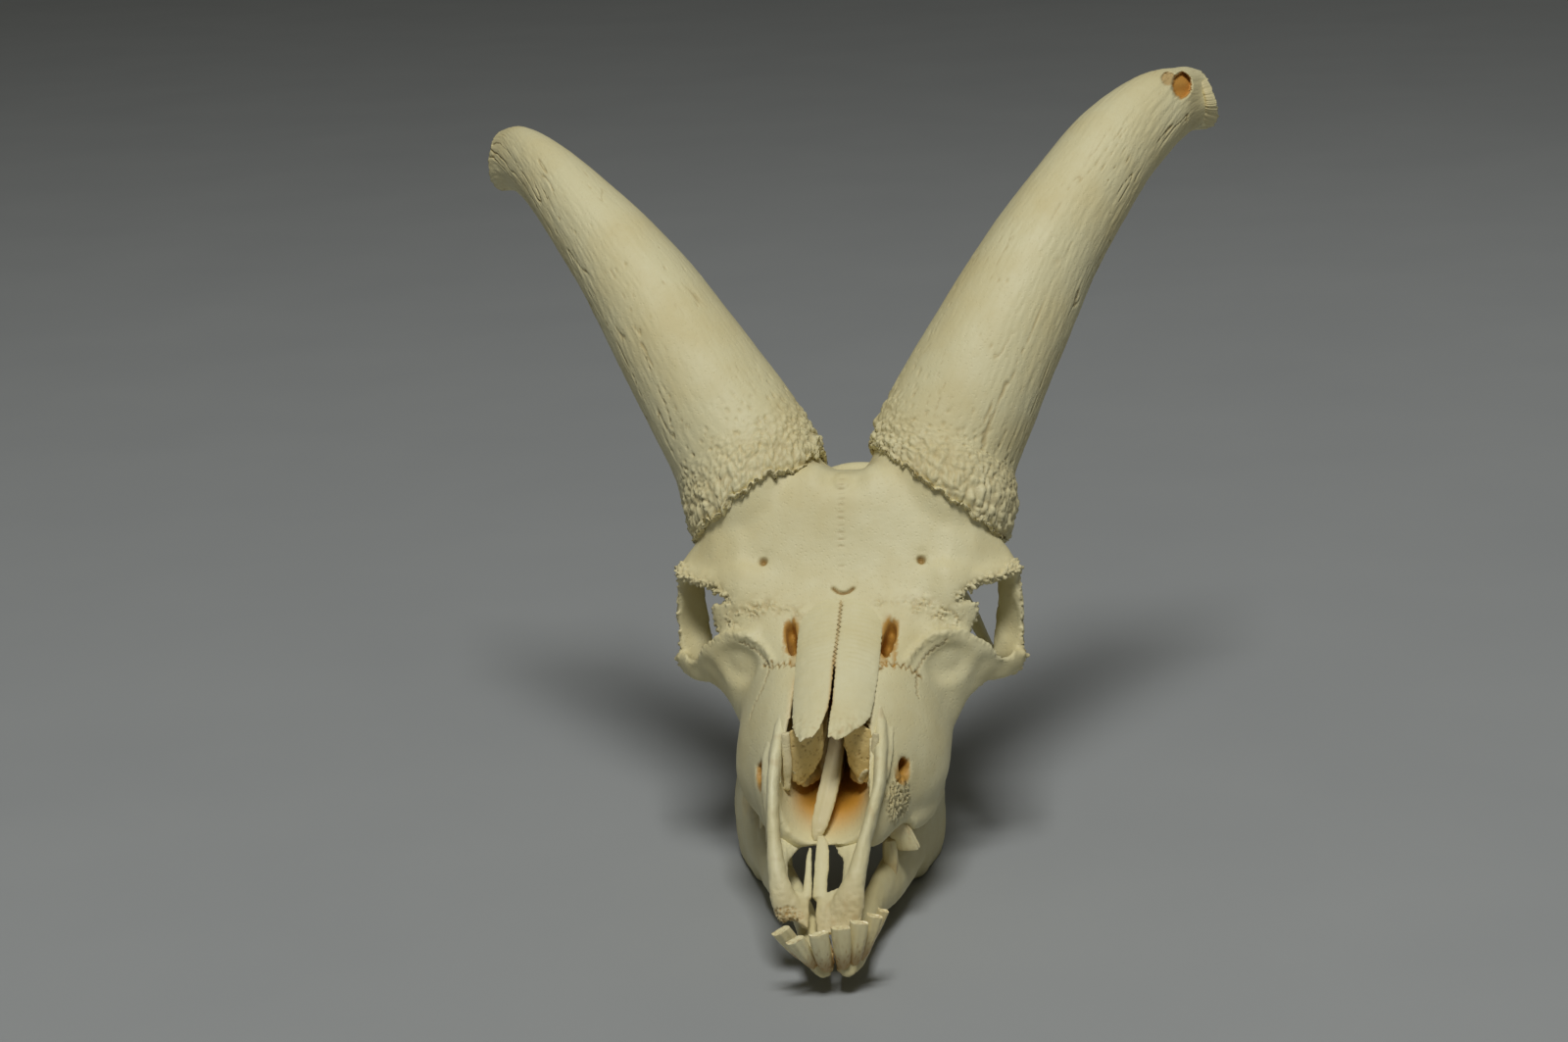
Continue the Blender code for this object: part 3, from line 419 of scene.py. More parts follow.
def beside(places, line):
    """For each place: how far along a line its nearest point is, the way from there to it, and the line's run."""
    nearest = np.full(len(places), np.inf)
    along, way, run = np.zeros(len(places)), np.zeros((len(places), 3)), np.zeros((len(places), 3))
    start = 0.0
    for a, b in zip(np.array(line[:-1], float), np.array(line[1:], float)):
        length = np.linalg.norm(b - a)
        share = np.clip((places - a) @ (b - a) / length**2, 0, 1)
        off = places - (a + share[:, None] * (b - a))
        distance = np.linalg.norm(off, axis=1)
        closer = distance < nearest
        nearest[closer] = distance[closer]
        along[closer] = start + share[closer] * length
        way[closer] = off[closer]
        run[closer] = (b - a) / length
        start += length
    return along, way, run


def toothed_seam(places, outwards, line, width, swing, period):
    """1 in the groove of a seam that swings from side to side along its line, 0 away from it."""
    along, way, run = beside(places, line)
    side = np.cross(run, outwards)
    side /= np.linalg.norm(side, axis=1)[:, None] + 1e-9
    off = (way * side).sum(axis=1)
    phase = along / period + 0.6 * np.array([noise.noise((a / period / 2.3, 5.0, 0.0)) for a in along.tolist()])
    teeth = swing * (4 * np.abs(phase % 1 - 0.5) - 1)
    near = np.linalg.norm(way, axis=1) < swing + 3 * width
    return np.exp(-(((off - teeth) / width) ** 2)) * near


def spot(places, middle, reach):
    """1 in the middle of a spot, 0 at its reach."""
    away = np.linalg.norm((places - np.array(middle)) / np.array(reach), axis=1)
    return 1 - ease(0.35, 1.0, away)


def crest(mesh, places, outwards, rounds):
    """How far each point stands out of its surroundings, in millimetres."""
    ends = np.empty(len(mesh.edges) * 2, np.int32)
    mesh.edges.foreach_get("vertices", ends)
    a, b = ends.reshape(-1, 2).T
    count = np.bincount(a, minlength=len(places)) + np.bincount(b, minlength=len(places))
    calm = places.copy()
    for _ in range(rounds):
        total = calm.copy()
        for axis in range(3):
            total[:, axis] += np.bincount(a, calm[b, axis], len(places)) + np.bincount(b, calm[a, axis], len(places))
        calm = total / (count + 1)[:, None]
    return ((places - calm) * outwards).sum(axis=1)


def finer(mesh, wanted):
    """Splits the edges whose two ends are wanted."""
    bm = bmesh.new()
    bm.from_mesh(mesh)
    chosen = [e for e in bm.edges if wanted[e.verts[0].index] and wanted[e.verts[1].index]]
    bmesh.ops.subdivide_edges(bm, edges=chosen, cuts=1, use_grid_fill=True)
    bm.to_mesh(mesh)
    bm.free()


def line_on(places, outwards, line, width):
    """1 on a line drawn over the bone, fading out over a width."""
    way = beside(places, line)[1]
    lift = (way * outwards).sum(axis=1)
    flat = np.linalg.norm(way - lift[:, None] * outwards, axis=1)
    return np.exp(-((flat / width) ** 2)) * (np.abs(lift) < LINE_LIFT)


mesh = skull.data
places = places_of(mesh)
mirrored_places = places.copy()
mirrored_places[:, 0] = np.abs(places[:, 0])
wanted = np.linalg.norm(beside(mirrored_places, SOCKET_LIP)[1], axis=1) < FINE_REACH + 1
for line in (*FACE_SEAMS, *CHEEK_SEAMS, *WRINKLED, NOSE_ROOT_GAP, MID_SEAM):
    wanted |= np.linalg.norm(beside(places, line)[1], axis=1) < FINE_REACH
for line in (SOCKET_BROW, SOCKET_OUTER, TEAR_EDGE):
    wanted |= np.linalg.norm(beside(mirrored_places, line)[1], axis=1) < FINE_REACH
wanted |= spot(places, *ROOT_BREAK) > 0.01
for root, tip in HOLE_FANS:
    wanted |= np.linalg.norm(places - np.array(root), axis=1) < 4.0
finer(mesh, wanted)

places, outwards = places_of(mesh), directions_of(mesh)
mirrored_places = places.copy()
mirrored_places[:, 0] = np.abs(places[:, 0])
hollow = crest(mesh, places, outwards, 14)
relief = 0.5 * swell(places, 24.0, 3.0) + 0.2 * swell(places, 9.0) + 0.06 * swell(places, 2.6)
stain_and_shade = np.zeros(len(places))
for line in FACE_SEAMS:
    groove = toothed_seam(places, outwards, line, 0.55, 1.5, 3.3)
    relief -= 1.1 * groove
    stain_and_shade += 1.4 * groove
for line in CHEEK_SEAMS:
    groove = toothed_seam(places, outwards, line, 0.45, 0.7, 2.6)
    relief -= 0.6 * groove
    stain_and_shade += 0.6 * groove
for line in SIDE_SEAMS:
    groove = toothed_seam(places, outwards, line, 0.8, 1.4, 3.6)
    relief -= 0.5 * groove
    stain_and_shade += 0.4 * groove
way = beside(places, NOSE_ROOT_GAP)[1]
gap = np.exp(-((np.linalg.norm(way, axis=1) / 0.6) ** 2))
relief -= 2.0 * gap
stain_and_shade += 1.5 * gap

# The middle seam of the brow has closed to a ladder of short pits, and peaks at the crest between the cores.
along, way, _ = beside(places, MID_SEAM)
rung = np.abs((along / 3.1) % 1 - 0.5) < 0.17
patchy = ease(-0.25, 0.3, np.array([noise.noise((a / 9.0, 2.0, 1.0)) for a in along.tolist()]))
ladder = np.exp(-((np.abs(way[:, 0]) / 1.5) ** 4)) * rung * patchy * (np.linalg.norm(way, axis=1) < 4)
relief += 1.6 * spot(places, *CREST_PEAK) - 0.4 * ladder
stain_and_shade += 0.5 * ladder

# Worm-like wrinkled bone where the brow meets the tear bone, darkened between its wrinkles as painted shade.
ridge = crumbs(places, (1.7, 2.6, 2.2))[1]
for line in WRINKLED:
    rough = line_on(places, outwards, line, 4.6)
    rough *= ease(-0.5, 0.15, swell(places, 6.0, 8.0))
    relief += rough * 1.9 * (ease(0.0, 0.36, ridge) - 0.45)
    stain_and_shade += 0.5 * rough * (1 - ease(0.0, 0.3, ridge))

# The lower lip of the eye socket is a notched ridge, and the cheek below it falls away in a funnel.
facing = outwards.copy()
facing[:, 0] *= np.sign(places[:, 0] + 0.001)
lip = line_on(mirrored_places, facing, SOCKET_LIP, 1.9)
forwards = ease(-0.1, 0.4, -outwards[:, 1])
funnel = 2.8 * spot(mirrored_places, *CHEEK_FUNNEL) + 1.6 * spot(mirrored_places, *CHEEK_DISH)
band = line_on(mirrored_places, facing, SOCKET_LIP, 4.2)
relief += lip * (1.5 + 0.8 * swell(places, 1.8)) - funnel * forwards * (1 - band)

# The rest of the rim is set with knobs the size of peppercorns, with painted shade in the gaps between them.
ridge = crumbs(places, 2.1)[1]
for line, width, height in ((SOCKET_BROW, 3.4, 2.3), (SOCKET_OUTER, 1.8, 1.9), (TEAR_EDGE, 2.8, 1.8)):
    knobbly = line_on(mirrored_places, facing, line, width)
    relief += height * knobbly * (ease(0.0, 0.5, ridge) - 0.4 + 0.4 * swell(places, 3.0, 9.0))
    stain_and_shade += 0.22 * knobbly * (1 - ease(0.0, 0.3, ridge))

# Eye socket rims and the bars behind them are finely notched, and the notches are darkened as painted shade.
rims = spot(mirrored_places, SOCKET_MIDDLE, SOCKET_REACH)
edge = ease(0.25, 0.75, crest(mesh, places, outwards, 8))
notches = swell(places, 1.9) + 0.6 * swell(places, 3.6)
relief += rims * edge * 0.8 * notches
stain_and_shade += rims * edge * 0.3 * ease(0.0, 0.6, -notches)

# The nerve holes of the brow, each with a shallow groove that fans out below it; each hole's mouth is darkened as
# painted shade.
for root, tip in HOLE_FANS:
    way = beside(places, (root, tip))[1]
    relief -= 0.35 * np.exp(-((np.linalg.norm(way, axis=1) / 3.6) ** 2))
    mouth = np.exp(-((np.linalg.norm(places - np.array(root), axis=1) / 1.9) ** 4))
    relief -= 2.6 * mouth
    stain_and_shade += 1.3 * mouth

# A tooth root has broken through the cheek on the left: spongy bone lies open.
break_share = spot(places, *ROOT_BREAK) * (places[:, 0] > 17)
ragged = ease(0.12, 0.36, break_share + 0.45 * swell(places, 4.0) + 0.2 * swell(places, 1.8))
ragged *= ease(0.0, 0.12, break_share)
first, ridge = crumbs(places, (1.5, 1.6, 2.3))
cells = 1 - ease(0.05, 0.45, ridge)
relief += ragged * (0.7 * cells - BREAK_DEPTH * (1 - cells) * ease(0.1, 0.6, first))
stain_and_shade += ragged * (0.4 - 0.34 * cells)

# Inside the nose the bone is orange, fading to cream on the palate; so are the slits beside the nasal bones.
inside = np.exp(-((np.abs(places[:, 0] - SNOUT_LEAN * np.minimum(0, places[:, 1] - SNOUT_START_Y)) / 16.5) ** 8))
below_roof = ease(64, 58, places[:, 2] + 0.36 * (places[:, 1] + 40))
marrow = inside * (places[:, 1] < 6) * ease(-92, -68, places[:, 1]) * below_roof
marrow *= places[:, 2] > 5
way = beside(mirrored_places, [station[:3] for station in CHEEK_HOLE])[1]
away = np.linalg.norm(way, axis=1) + 1e-9
inner = ease(0.1, 0.6, -(way * facing).sum(axis=1) / away) * (away < CHEEK_HOLE_REACH)
marrow += 0.6 * inner
# The inner walls of the cheek holes are darkened as painted shade.
stain_and_shade += 0.8 * inner
from_slit = np.interp(places[:, 2], SLIT_LEVELS, SLIT_MIDDLES) - mirrored_places[:, 0]
walls = ease(0.1, 0.6, facing[:, 0] * np.sign(from_slit)) * (np.abs(from_slit) < SLIT_WALL_REACH)
below_face = SLIT_FACE[0] + SLIT_FACE[1] * places[:, 1] - places[:, 2]
walls = np.maximum(walls, ease(1.2, 3.0, below_face) * (np.abs(from_slit) < SLIT_FLOOR_REACH))
walls *= (np.abs(places[:, 1] - SLIT_Y[0]) < SLIT_Y[1]) * (places[:, 2] > SLIT_LEVELS[0])
marrow += 0.7 * walls
# The slit walls are darkened too: painted shade in the slits.
stain_and_shade += 0.6 * walls

# The crest between the cores dips to a saddle.
dip = np.exp(-(((places[:, 0] + 0.5) / SADDLE_HALF) ** 4)) * ease(24, 37, places[:, 1]) * ease(104, 90, places[:, 1])
places += outwards * relief[:, None]
places[:, 2] -= SADDLE_DEPTH * dip * ease(84, 94, places[:, 2])
set_places(mesh, places)
# Hollows of the skull are darkened as painted shade, less so on the socket lip; the rest of this value is stains and
# dark seams.
keep_value(mesh, "stain_and_shade", stain_and_shade + 0.36 * ease(0.15, 1.3, -hollow) * (1 - 0.8 * lip))
keep_value(mesh, "marrow", marrow)


def joined(tree, kind, values=(), **settings):
    """A new node with its settings and its socket values."""
    node = tree.nodes.new(kind)
    for key, value in settings.items():
        setattr(node, key, value)
    for socket, value in dict(values).items():
        if isinstance(value, bpy.types.NodeSocket):
            tree.links.new(value, node.inputs[socket])
        else:
            node.inputs[socket].default_value = value
    return node


def bone_finish(name, fresh, aged, deep, marrow, roughness, pore_scale=520.0, bump=0.25):
    """Dry degreased bone: ivory, a little greasier and yellower in places, brown in its crevices from stain and
    painted shade, orange inside.
    """
    material = bpy.data.materials.new(name)
    material.use_nodes = True
    tree = material.node_tree
    shader = tree.nodes["Principled BSDF"]
    where = joined(tree, "ShaderNodeTexCoord").outputs["Object"]
    clouds = joined(tree, "ShaderNodeTexNoise", {"Vector": where, "Scale": 26.0, "Detail": 4.0, "Roughness": 0.6})
    flecks = joined(tree, "ShaderNodeTexNoise", {"Vector": where, "Scale": 420.0, "Detail": 5.0, "Roughness": 0.65})
    pores = joined(tree, "ShaderNodeTexVoronoi", {"Vector": where, "Scale": pore_scale, "Randomness": 1.0})
    age = joined(tree, "ShaderNodeMapRange", {0: clouds.outputs["Fac"], 1: 0.40, 2: 0.66, 3: 0.0, 4: 0.9})
    coat = joined(tree, "ShaderNodeMix", {0: age.outputs[0], 6: fresh, 7: aged}, data_type="RGBA")
    speck = joined(tree, "ShaderNodeMapRange", {0: flecks.outputs["Fac"], 1: 0.52, 2: 0.75, 3: 0.0, 4: 0.3})
    flecked = joined(tree, "ShaderNodeMix", {0: speck.outputs[0], 6: coat.outputs[2], 7: aged}, data_type="RGBA")
    # The deep brown is mixed in by a stored value that holds real stains and dark seams as well as painted shade in
    # hollows, holes and gaps.
    stain_and_shade_amount = joined(tree, "ShaderNodeAttribute", attribute_name="stain_and_shade").outputs["Fac"]
    stained_and_shaded = joined(tree, "ShaderNodeMix", {0: stain_and_shade_amount, 6: flecked.outputs[2], 7: deep}, data_type="RGBA")
    within = joined(tree, "ShaderNodeAttribute", attribute_name="marrow").outputs["Fac"]
    whole = joined(tree, "ShaderNodeMix", {0: within, 6: stained_and_shaded.outputs[2], 7: marrow}, data_type="RGBA")
    tree.links.new(whole.outputs[2], shader.inputs["Base Color"])
    dull = joined(
        tree, "ShaderNodeMapRange",
        {0: clouds.outputs["Fac"], 1: 0.3, 2: 0.7, 3: roughness - 0.07, 4: roughness + 0.1},
    )
    tree.links.new(dull.outputs[0], shader.inputs["Roughness"])
    pitted = joined(tree, "ShaderNodeMapRange", {0: pores.outputs["Distance"], 1: 0.0, 2: 0.32, 3: 0.0, 4: 1.0})
    height = joined(tree, "ShaderNodeMath", {0: flecks.outputs["Fac"], 1: pitted.outputs[0]}, operation="ADD")
    raised = joined(tree, "ShaderNodeBump", {"Height": height.outputs[0], "Strength": bump, "Distance": 0.0004})
    tree.links.new(raised.outputs["Normal"], shader.inputs["Normal"])
    return material


SKULL_BONE = bone_finish(
    "skull_bone", (0.77, 0.71, 0.43, 1), (0.70, 0.61, 0.32, 1), (0.33, 0.20, 0.05, 1), (0.62, 0.30, 0.03, 1), 0.58,
    bump=0.4,
)
BOX_MARGIN = 0.0001


def in_place(obj, to_rest, finish, slot, *nodes):
    """Lays a piece down at rest inside the object's own box, gives it its finish and ties it to the frame."""
    obj.data.transform(to_rest)
    low, high = np.array(cad_box[0]) + BOX_MARGIN, np.array(cad_box[1]) - BOX_MARGIN
    set_places(obj.data, np.clip(places_of(obj.data), low, high))
    obj.data.materials.clear()
    obj.data.materials.append(finish)
    obj.data.polygons.foreach_set("material_index", np.zeros(len(obj.data.polygons), np.int32))
    obj.data.shade_smooth()
    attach(obj, "root")
    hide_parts(*nodes)


in_place(skull, SKULL_AT_REST, SKULL_BONE, "bone", "cranium")

# The horn cores: hollow bone cones that stood inside the horn sheaths, grown out of the brow. Each starts in a
# knobbly crust, turns to long fine furrows and pores, and ends where the tip has broken away.
CORE_LEFT = (
    (39, 50, 90, 33, 32, -0.28), (41.5, 57, 100, 37, 35.5, -0.28), (45, 72, 116.3, 36, 34, -0.16),
    (56, 85.2, 136.3, 34.5, 32.4, -0.06), (67, 99, 154.2, 33, 30.4, 0), (78.2, 114.6, 170.8, 31.5, 28.3, 0),
    (90.2, 132.2, 186.6, 29.5, 26, 0), (104.2, 151.6, 201.6, 27, 23.8, 0), (121, 173.9, 217.2, 24, 21.4, 0),
    (138.6, 196.7, 225.6, 20, 18, 0), (153, 216, 225.2, 16, 14.5, 0), (165.5, 230, 220.5, 15, 11.5, 0),
)
CORE_RIGHT = (
    (-39, 50, 90, 33, 32, 0.28), (-43, 57, 101, 37, 35.5, 0.28), (-53, 72.6, 118.3, 36, 33.4, 0.16),
    (-67, 85.7, 138, 34, 31, 0.06), (-81.5, 99.7, 157, 32, 28.6, 0), (-96.6, 115.6, 175, 29.5, 25.8, 0),
    (-114.4, 133.4, 192, 26, 22, 0), (-133.8, 152.5, 206.5, 22, 18, 0), (-149.8, 171, 214.2, 18.5, 14.4, 0),
    (-164.6, 188.7, 215.4, 16, 11.5, 0), (-177.4, 203.3, 208.8, 14.5, 9.5, 0),
)
CRUST_EDGE_AT = (13, 64, 117)
CRUST_EDGE_FACING = (0.577, 0.499, 0.646)
STEPS_AROUND = 280
STEPS_ALONG = 340
LIP_ROWS = 5
LIP_SHARES = (0.0, 0.86, 0.93, 0.97, 0.993)
LIP_TUCKS = (6.0, 3.0, 1.4, 0.5, 0.1)
DISH_ROWS = 14
CRUST_FADE = 58.0


def core_tables(stations):
    """Middle and half axes of a core at even steps of its length, along a smooth curve through the stations."""
    knots = np.array(stations, float)
    fine = np.linspace(0, len(knots) - 1, 900)
    slopes = np.gradient(knots, axis=0)
    base = np.minimum(fine.astype(int), len(knots) - 2)
    t = (fine - base)[:, None]
    a, b, da, db = knots[base], knots[base + 1], slopes[base], slopes[base + 1]
    rows = (2 * t**3 - 3 * t**2 + 1) * a + (t**3 - 2 * t**2 + t) * da + (3 * t**2 - 2 * t**3) * b + (t**3 - t**2) * db
    middles = rows[:, :3]
    length = np.concatenate(([0], np.cumsum(np.linalg.norm(np.diff(middles, axis=0), axis=1))))
    run = np.gradient(middles, axis=0)
    run /= np.linalg.norm(run, axis=1)[:, None]
    across = np.array((1.0, 0, 0)) - run[:, :1] * run
    across /= np.linalg.norm(across, axis=1)[:, None]
    front = np.cross(across, run) * rows[:, 3:4]
    side = (across + run * rows[:, 5:6]) * rows[:, 4:5]
    return length, np.hstack((middles, front, side))


def on_core(tables, turn, reach, share=1.0):
    """Points at a turn about the core, a reach along it, and a share of its radius."""
    length, values = tables
    here = np.stack([np.interp(reach, length, values[:, k]) for k in range(9)], axis=-1)
    beyond = np.maximum(reach - length[-1], 0)[..., None]
    run = values[-1, :3] - values[-8, :3]
    middle = here[..., :3] + beyond * run / np.linalg.norm(run)
    arm = here[..., 3:6] * np.cos(turn)[..., None] + here[..., 6:9] * np.sin(turn)[..., None]
    return middle + arm * np.asarray(share)[..., None]


def horn_core(name, stations, side, scoop_depth, seed):
    """A horn core as one sheet bent round its axis, closed at the root and at the broken end."""
    tables = core_tables(stations)
    total = tables[0][-1]
    bm = bmesh.new()
    bmesh.ops.create_grid(bm, x_segments=STEPS_AROUND, y_segments=STEPS_ALONG, size=1.0)
    mesh = bpy.data.meshes.new(name)
    bm.to_mesh(mesh)
    bm.free()
    flat = places_of(mesh)
    turn = math.pi * flat[:, 0]
    row = np.round((flat[:, 1] + 1) / 2 * STEPS_ALONG)
    lateral = np.sin(turn) * side

    # The crust starts at a ragged edge on a slanting plane.
    turns = np.linspace(-math.pi, math.pi, 361)
    reaches = np.linspace(0, 90, 361)
    grid_turn, grid_reach = np.meshgrid(turns, reaches)
    facing = np.array(CRUST_EDGE_FACING) * (side, 1, 1)
    above = (on_core(tables, grid_turn, grid_reach) - np.array(CRUST_EDGE_AT) * (side, 1, 1)) @ facing
    crossing = reaches[np.argmax(above > 0, axis=0)]
    crossing = np.convolve(np.concatenate((crossing[-11:-1], crossing, crossing[1:11])), np.ones(21) / 21, "valid")
    ring = np.stack((np.cos(turn) * 34, np.sin(turn) * 34, np.full(len(turn), seed)), axis=1)
    ragged = 2.2 * swell(ring, 7.0) + 1.6 * swell(ring, 2.8)
    start = np.interp(turn, turns, crossing) + ragged - 2.0
    torn = 1.6 * swell(ring, 5.0, 3.3) + 1.1 * swell(ring, 2.0, 1.7)
    finish = total - 1.5 + torn - scoop_depth * ease(0.1, 0.9, lateral * 0.75 + np.cos(turn) * 0.45)

    body = np.clip((row - LIP_ROWS) / (STEPS_ALONG - LIP_ROWS - DISH_ROWS), 0, 1)
    lip_row = np.clip(row, 0, LIP_ROWS - 1).astype(int)
    share = np.where(row < LIP_ROWS, np.array(LIP_SHARES)[lip_row], 1.0)
    tuck = np.where(row < LIP_ROWS, np.array(LIP_TUCKS)[lip_row], 0.0)
    reach = start + (finish - start) * body**1.25 + tuck
    inward = np.clip((row - (STEPS_ALONG - DISH_ROWS)) / DISH_ROWS, 0, 1)
    share = share * np.where(inward > 0, np.cos(inward * math.pi / 2) ** 0.8, 1.0)
    dished = np.where(inward > 0, 1, 0) * (scoop_depth * 0.55 + 3.5) * ease(0.06, 0.55, inward)
    level = finish + (np.mean(finish) - finish) * ease(0.1, 0.8, inward)
    reach = np.where(inward > 0, level - dished, reach)
    share[row == STEPS_ALONG] = 0.0
    reach[row == STEPS_ALONG] = np.mean(reach[row == STEPS_ALONG])
    share[row == 0] = 0.0
    reach[row == 0] = np.mean(reach[row == 0])
    places = on_core(tables, turn, reach, share)
    set_places(mesh, places)

    from_edge = reach - start
    skin_share = (row >= 3) * (inward == 0) * 1.0
    radius = np.linalg.norm(places - on_core(tables, turn, reach, 0.0), axis=1)
    flow = np.stack((np.cos(turn) * radius, np.sin(turn) * radius, reach), axis=1) + seed

    # Knobbly crust: crumbs drawn out along the core, breaking up into pits higher on; the gaps between the crumbs are
    # darkened as painted shade.
    height = from_edge / (CRUST_FADE * (0.75 + 0.25 * np.abs(lateral)))
    crust = 1 - ease(0.10, 0.72, height + 0.10 * swell(flow, 9.0, 6.0))
    bent = flow + 1.1 * np.stack([swell(flow, 6.0, k) for k in (0.0, 9.0, 17.0)], axis=1)
    first, ridge = crumbs(bent, (3.4, 3.4, 5.0))
    small_ridge = crumbs(bent, (1.9, 1.9, 2.5))[1]
    lump = 0.55 * ease(0.0, 0.4, ridge) + 0.45 * (1 - first**2)
    heaped = 2.4 * lump * (0.75 + 0.6 * swell(flow, 5.0, 4.0))
    relief = crust**1.2 * (heaped - 1.2 + 0.8 * ease(0.0, 0.4, small_ridge) - 0.3)
    relief -= 1.6 * (1 - ease(0.0, 4.0, from_edge))
    stain_and_shade = crust * (0.26 * (1 - ease(0.0, 0.22, ridge)) + 0.14 * (1 - ease(0.0, 0.2, small_ridge)))
    pits = crumbs(bent, (2.7, 2.7, 8.5))[0]
    fringe = ease(0.1, 0.35, height) * (1 - ease(0.55, 1.15, height))
    pit = ease(0.34, 0.12, pits) * fringe
    relief -= 0.85 * pit
    stain_and_shade += 0.3 * pit

    # Long furrows, deeper on the outer side, and cracks that come and go.
    furrow = 0.8 * swell(flow * (1, 1, 0.07), 2.1) + 0.8 * swell(flow * (1, 1, 0.14), 1.0, 3.0)
    outer = ease(-0.1, 0.9, lateral)
    relief += (0.14 + 0.14 * outer) * furrow * (1 - 0.6 * crust)
    wander = swell(flow * (1, 1, 0.055), 5.2, 7.0) + 0.16 * swell(flow * (1, 1, 0.3), 2.5, 1.0)
    cracked = ease(0.02, 0.35, swell(flow * (1, 1, 0.35), 12.0, 11.0) + 0.35 * outer - 0.12)
    crack = (1 - ease(0.0, 0.045, np.abs(wander))) * cracked
    crack *= 1 - ease(0.0, 1.0, crust)
    relief -= (0.25 + 0.65 * outer) * crack
    stain_and_shade += (0.3 + 0.25 * outer) * crack
    dents = crumbs(flow * (1, 1, 0.6), 3.1)[0]
    shallow = ease(0.3, 0.0, dents) * ease(0.05, 0.4, swell(flow, 21.0, 2.0)) * (1 - crust)
    relief -= 0.35 * shallow
    pores = crumbs(flow * (1, 1, 0.45), 4.6)[0]
    pinprick = ease(0.15, 0.06, pores) * ease(-0.2, 0.3, swell(flow, 14.0, 21.0))
    relief -= 0.6 * pinprick * (1 - crust)
    stain_and_shade += 0.35 * pinprick * (1 - crust)
    relief += 0.45 * swell(flow * (1, 1, 0.5), 17.0, 5.0)

    # Towards the end the bone is crazed, and hollowed on its outer side.
    worn = ease(26, 2, finish - reach) * (inward == 0)
    craze_ridge = crumbs(bent * (1, 1, 0.8), 4.2)[1]
    relief -= 0.5 * worn * (1 - ease(0.0, 0.12, craze_ridge)) * ease(0.2, 0.8, 1 - outer)
    stain_and_shade += 0.4 * worn * (1 - ease(0.0, 0.12, craze_ridge)) * ease(0.2, 0.8, 1 - outer)
    return mesh, {"inward": inward, "relief": relief * skin_share, "stain_and_shade": stain_and_shade * skin_share}


def finished_core(name, mesh, core):
    """Raises the relief of a core, closes its seam and its two ends, and lays it in place."""
    outwards = directions_of(mesh)
    places = places_of(mesh) + outwards * core["relief"][:, None]
    set_places(mesh, places)
    keep_value(mesh, "stain_and_shade", core["stain_and_shade"])
    keep_value(mesh, "marrow", core["marrow"])
    bm = bmesh.new()
    bm.from_mesh(mesh)
    bmesh.ops.remove_doubles(bm, verts=bm.verts[:], dist=0.02)
    obj = piece(name, bm)
    bpy.data.meshes.remove(mesh)
    in_place(obj, SKULL_AT_REST, HORN_BONE, "bone", "cranium")


HORN_BONE = bone_finish(
    "horn_core_bone", (0.76, 0.70, 0.42, 1), (0.71, 0.62, 0.33, 1), (0.36, 0.23, 0.06, 1), (0.55, 0.27, 0.05, 1), 0.6,
    bump=0.35,
)

# The left core is torn open near its end: a hole shows the orange hollow, and the outer wall flares to a thin lip.
HOLE_WAY = np.array((0.0, 0.93, -0.365))
HOLE_MIDDLE = np.array((154.0, 204.4, 237.2))
HOLE_REACH = (4.6, 6.4)
SPONGE_MIDDLE = np.array((147.7, 204.0, 241.0))
SPONGE_REACH = (3.2, 3.4)
WORN_MIDDLE = (168, 208, 226)
WORN_REACH = (15, 22, 24)
mesh, core = horn_core("horn_core_left", CORE_LEFT, 1, 7.0, 0.0)
places, outwards = places_of(mesh), directions_of(mesh)
facing = ease(0.0, 0.3, -(outwards @ HOLE_WAY)) * (core["inward"] == 0)
worn = spot(places, WORN_MIDDLE, WORN_REACH)
places += (7.5 * worn * facing)[:, None] * HOLE_WAY
places[:, 2] -= 4.0 * ease(154, 170, places[:, 0]) * ease(218, 234, places[:, 2])
up_way = np.cross(HOLE_WAY, (1.0, 0, 0))


def within(middle, reach):
    """How far out a place is from the middle of a hole, 1 at its edge."""
    off = places - middle
    ragged = 1 + 0.14 * swell(places, 2.6)
    return np.sqrt((off[:, 0] / reach[0]) ** 2 + ((off @ up_way) / reach[1]) ** 2) * ragged


pit = ease(1.06, 0.84, within(HOLE_MIDDLE, HOLE_REACH)) * facing
sponge = ease(1.1, 0.8, within(SPONGE_MIDDLE, SPONGE_REACH)) * facing * (1 - pit)
ridge = crumbs(places, 1.5)[1]
deeper = ease(1.5, -3.5, (places - HOLE_MIDDLE) @ up_way * np.sign(up_way[2]))
places += (pit * (8.0 + 3.0 * deeper) + sponge * (1.6 + 1.4 * (1 - ease(0.1, 0.5, ridge))))[:, None] * HOLE_WAY
set_places(mesh, places)
calm = 1 - np.maximum(np.maximum(pit, sponge), 0.75 * worn * facing)
core["relief"] *= calm
# The hole is darkened most in its deep lower part: painted shade; the spongy zone gets a lighter tan stain.
core["stain_and_shade"] = core["stain_and_shade"] * calm + 0.35 * sponge + 0.75 * pit * deeper
core["stain_and_shade"] += 0.3 * core["inward"] ** 0.5
core["marrow"] = np.maximum(0.6 * ease(0.45, 0.95, core["inward"]), ease(0.3, 0.9, pit) + 0.35 * sponge)
finished_core("horn_core_left", mesh, core)

# The right core ends bluntly, crazed on top and scooped out beneath.
mesh, core = horn_core("horn_core_right", CORE_RIGHT, -1, 5.0, 31.0)
core["marrow"] = 0.6 * ease(0.45, 0.95, core["inward"])
finished_core("horn_core_right", mesh, core)

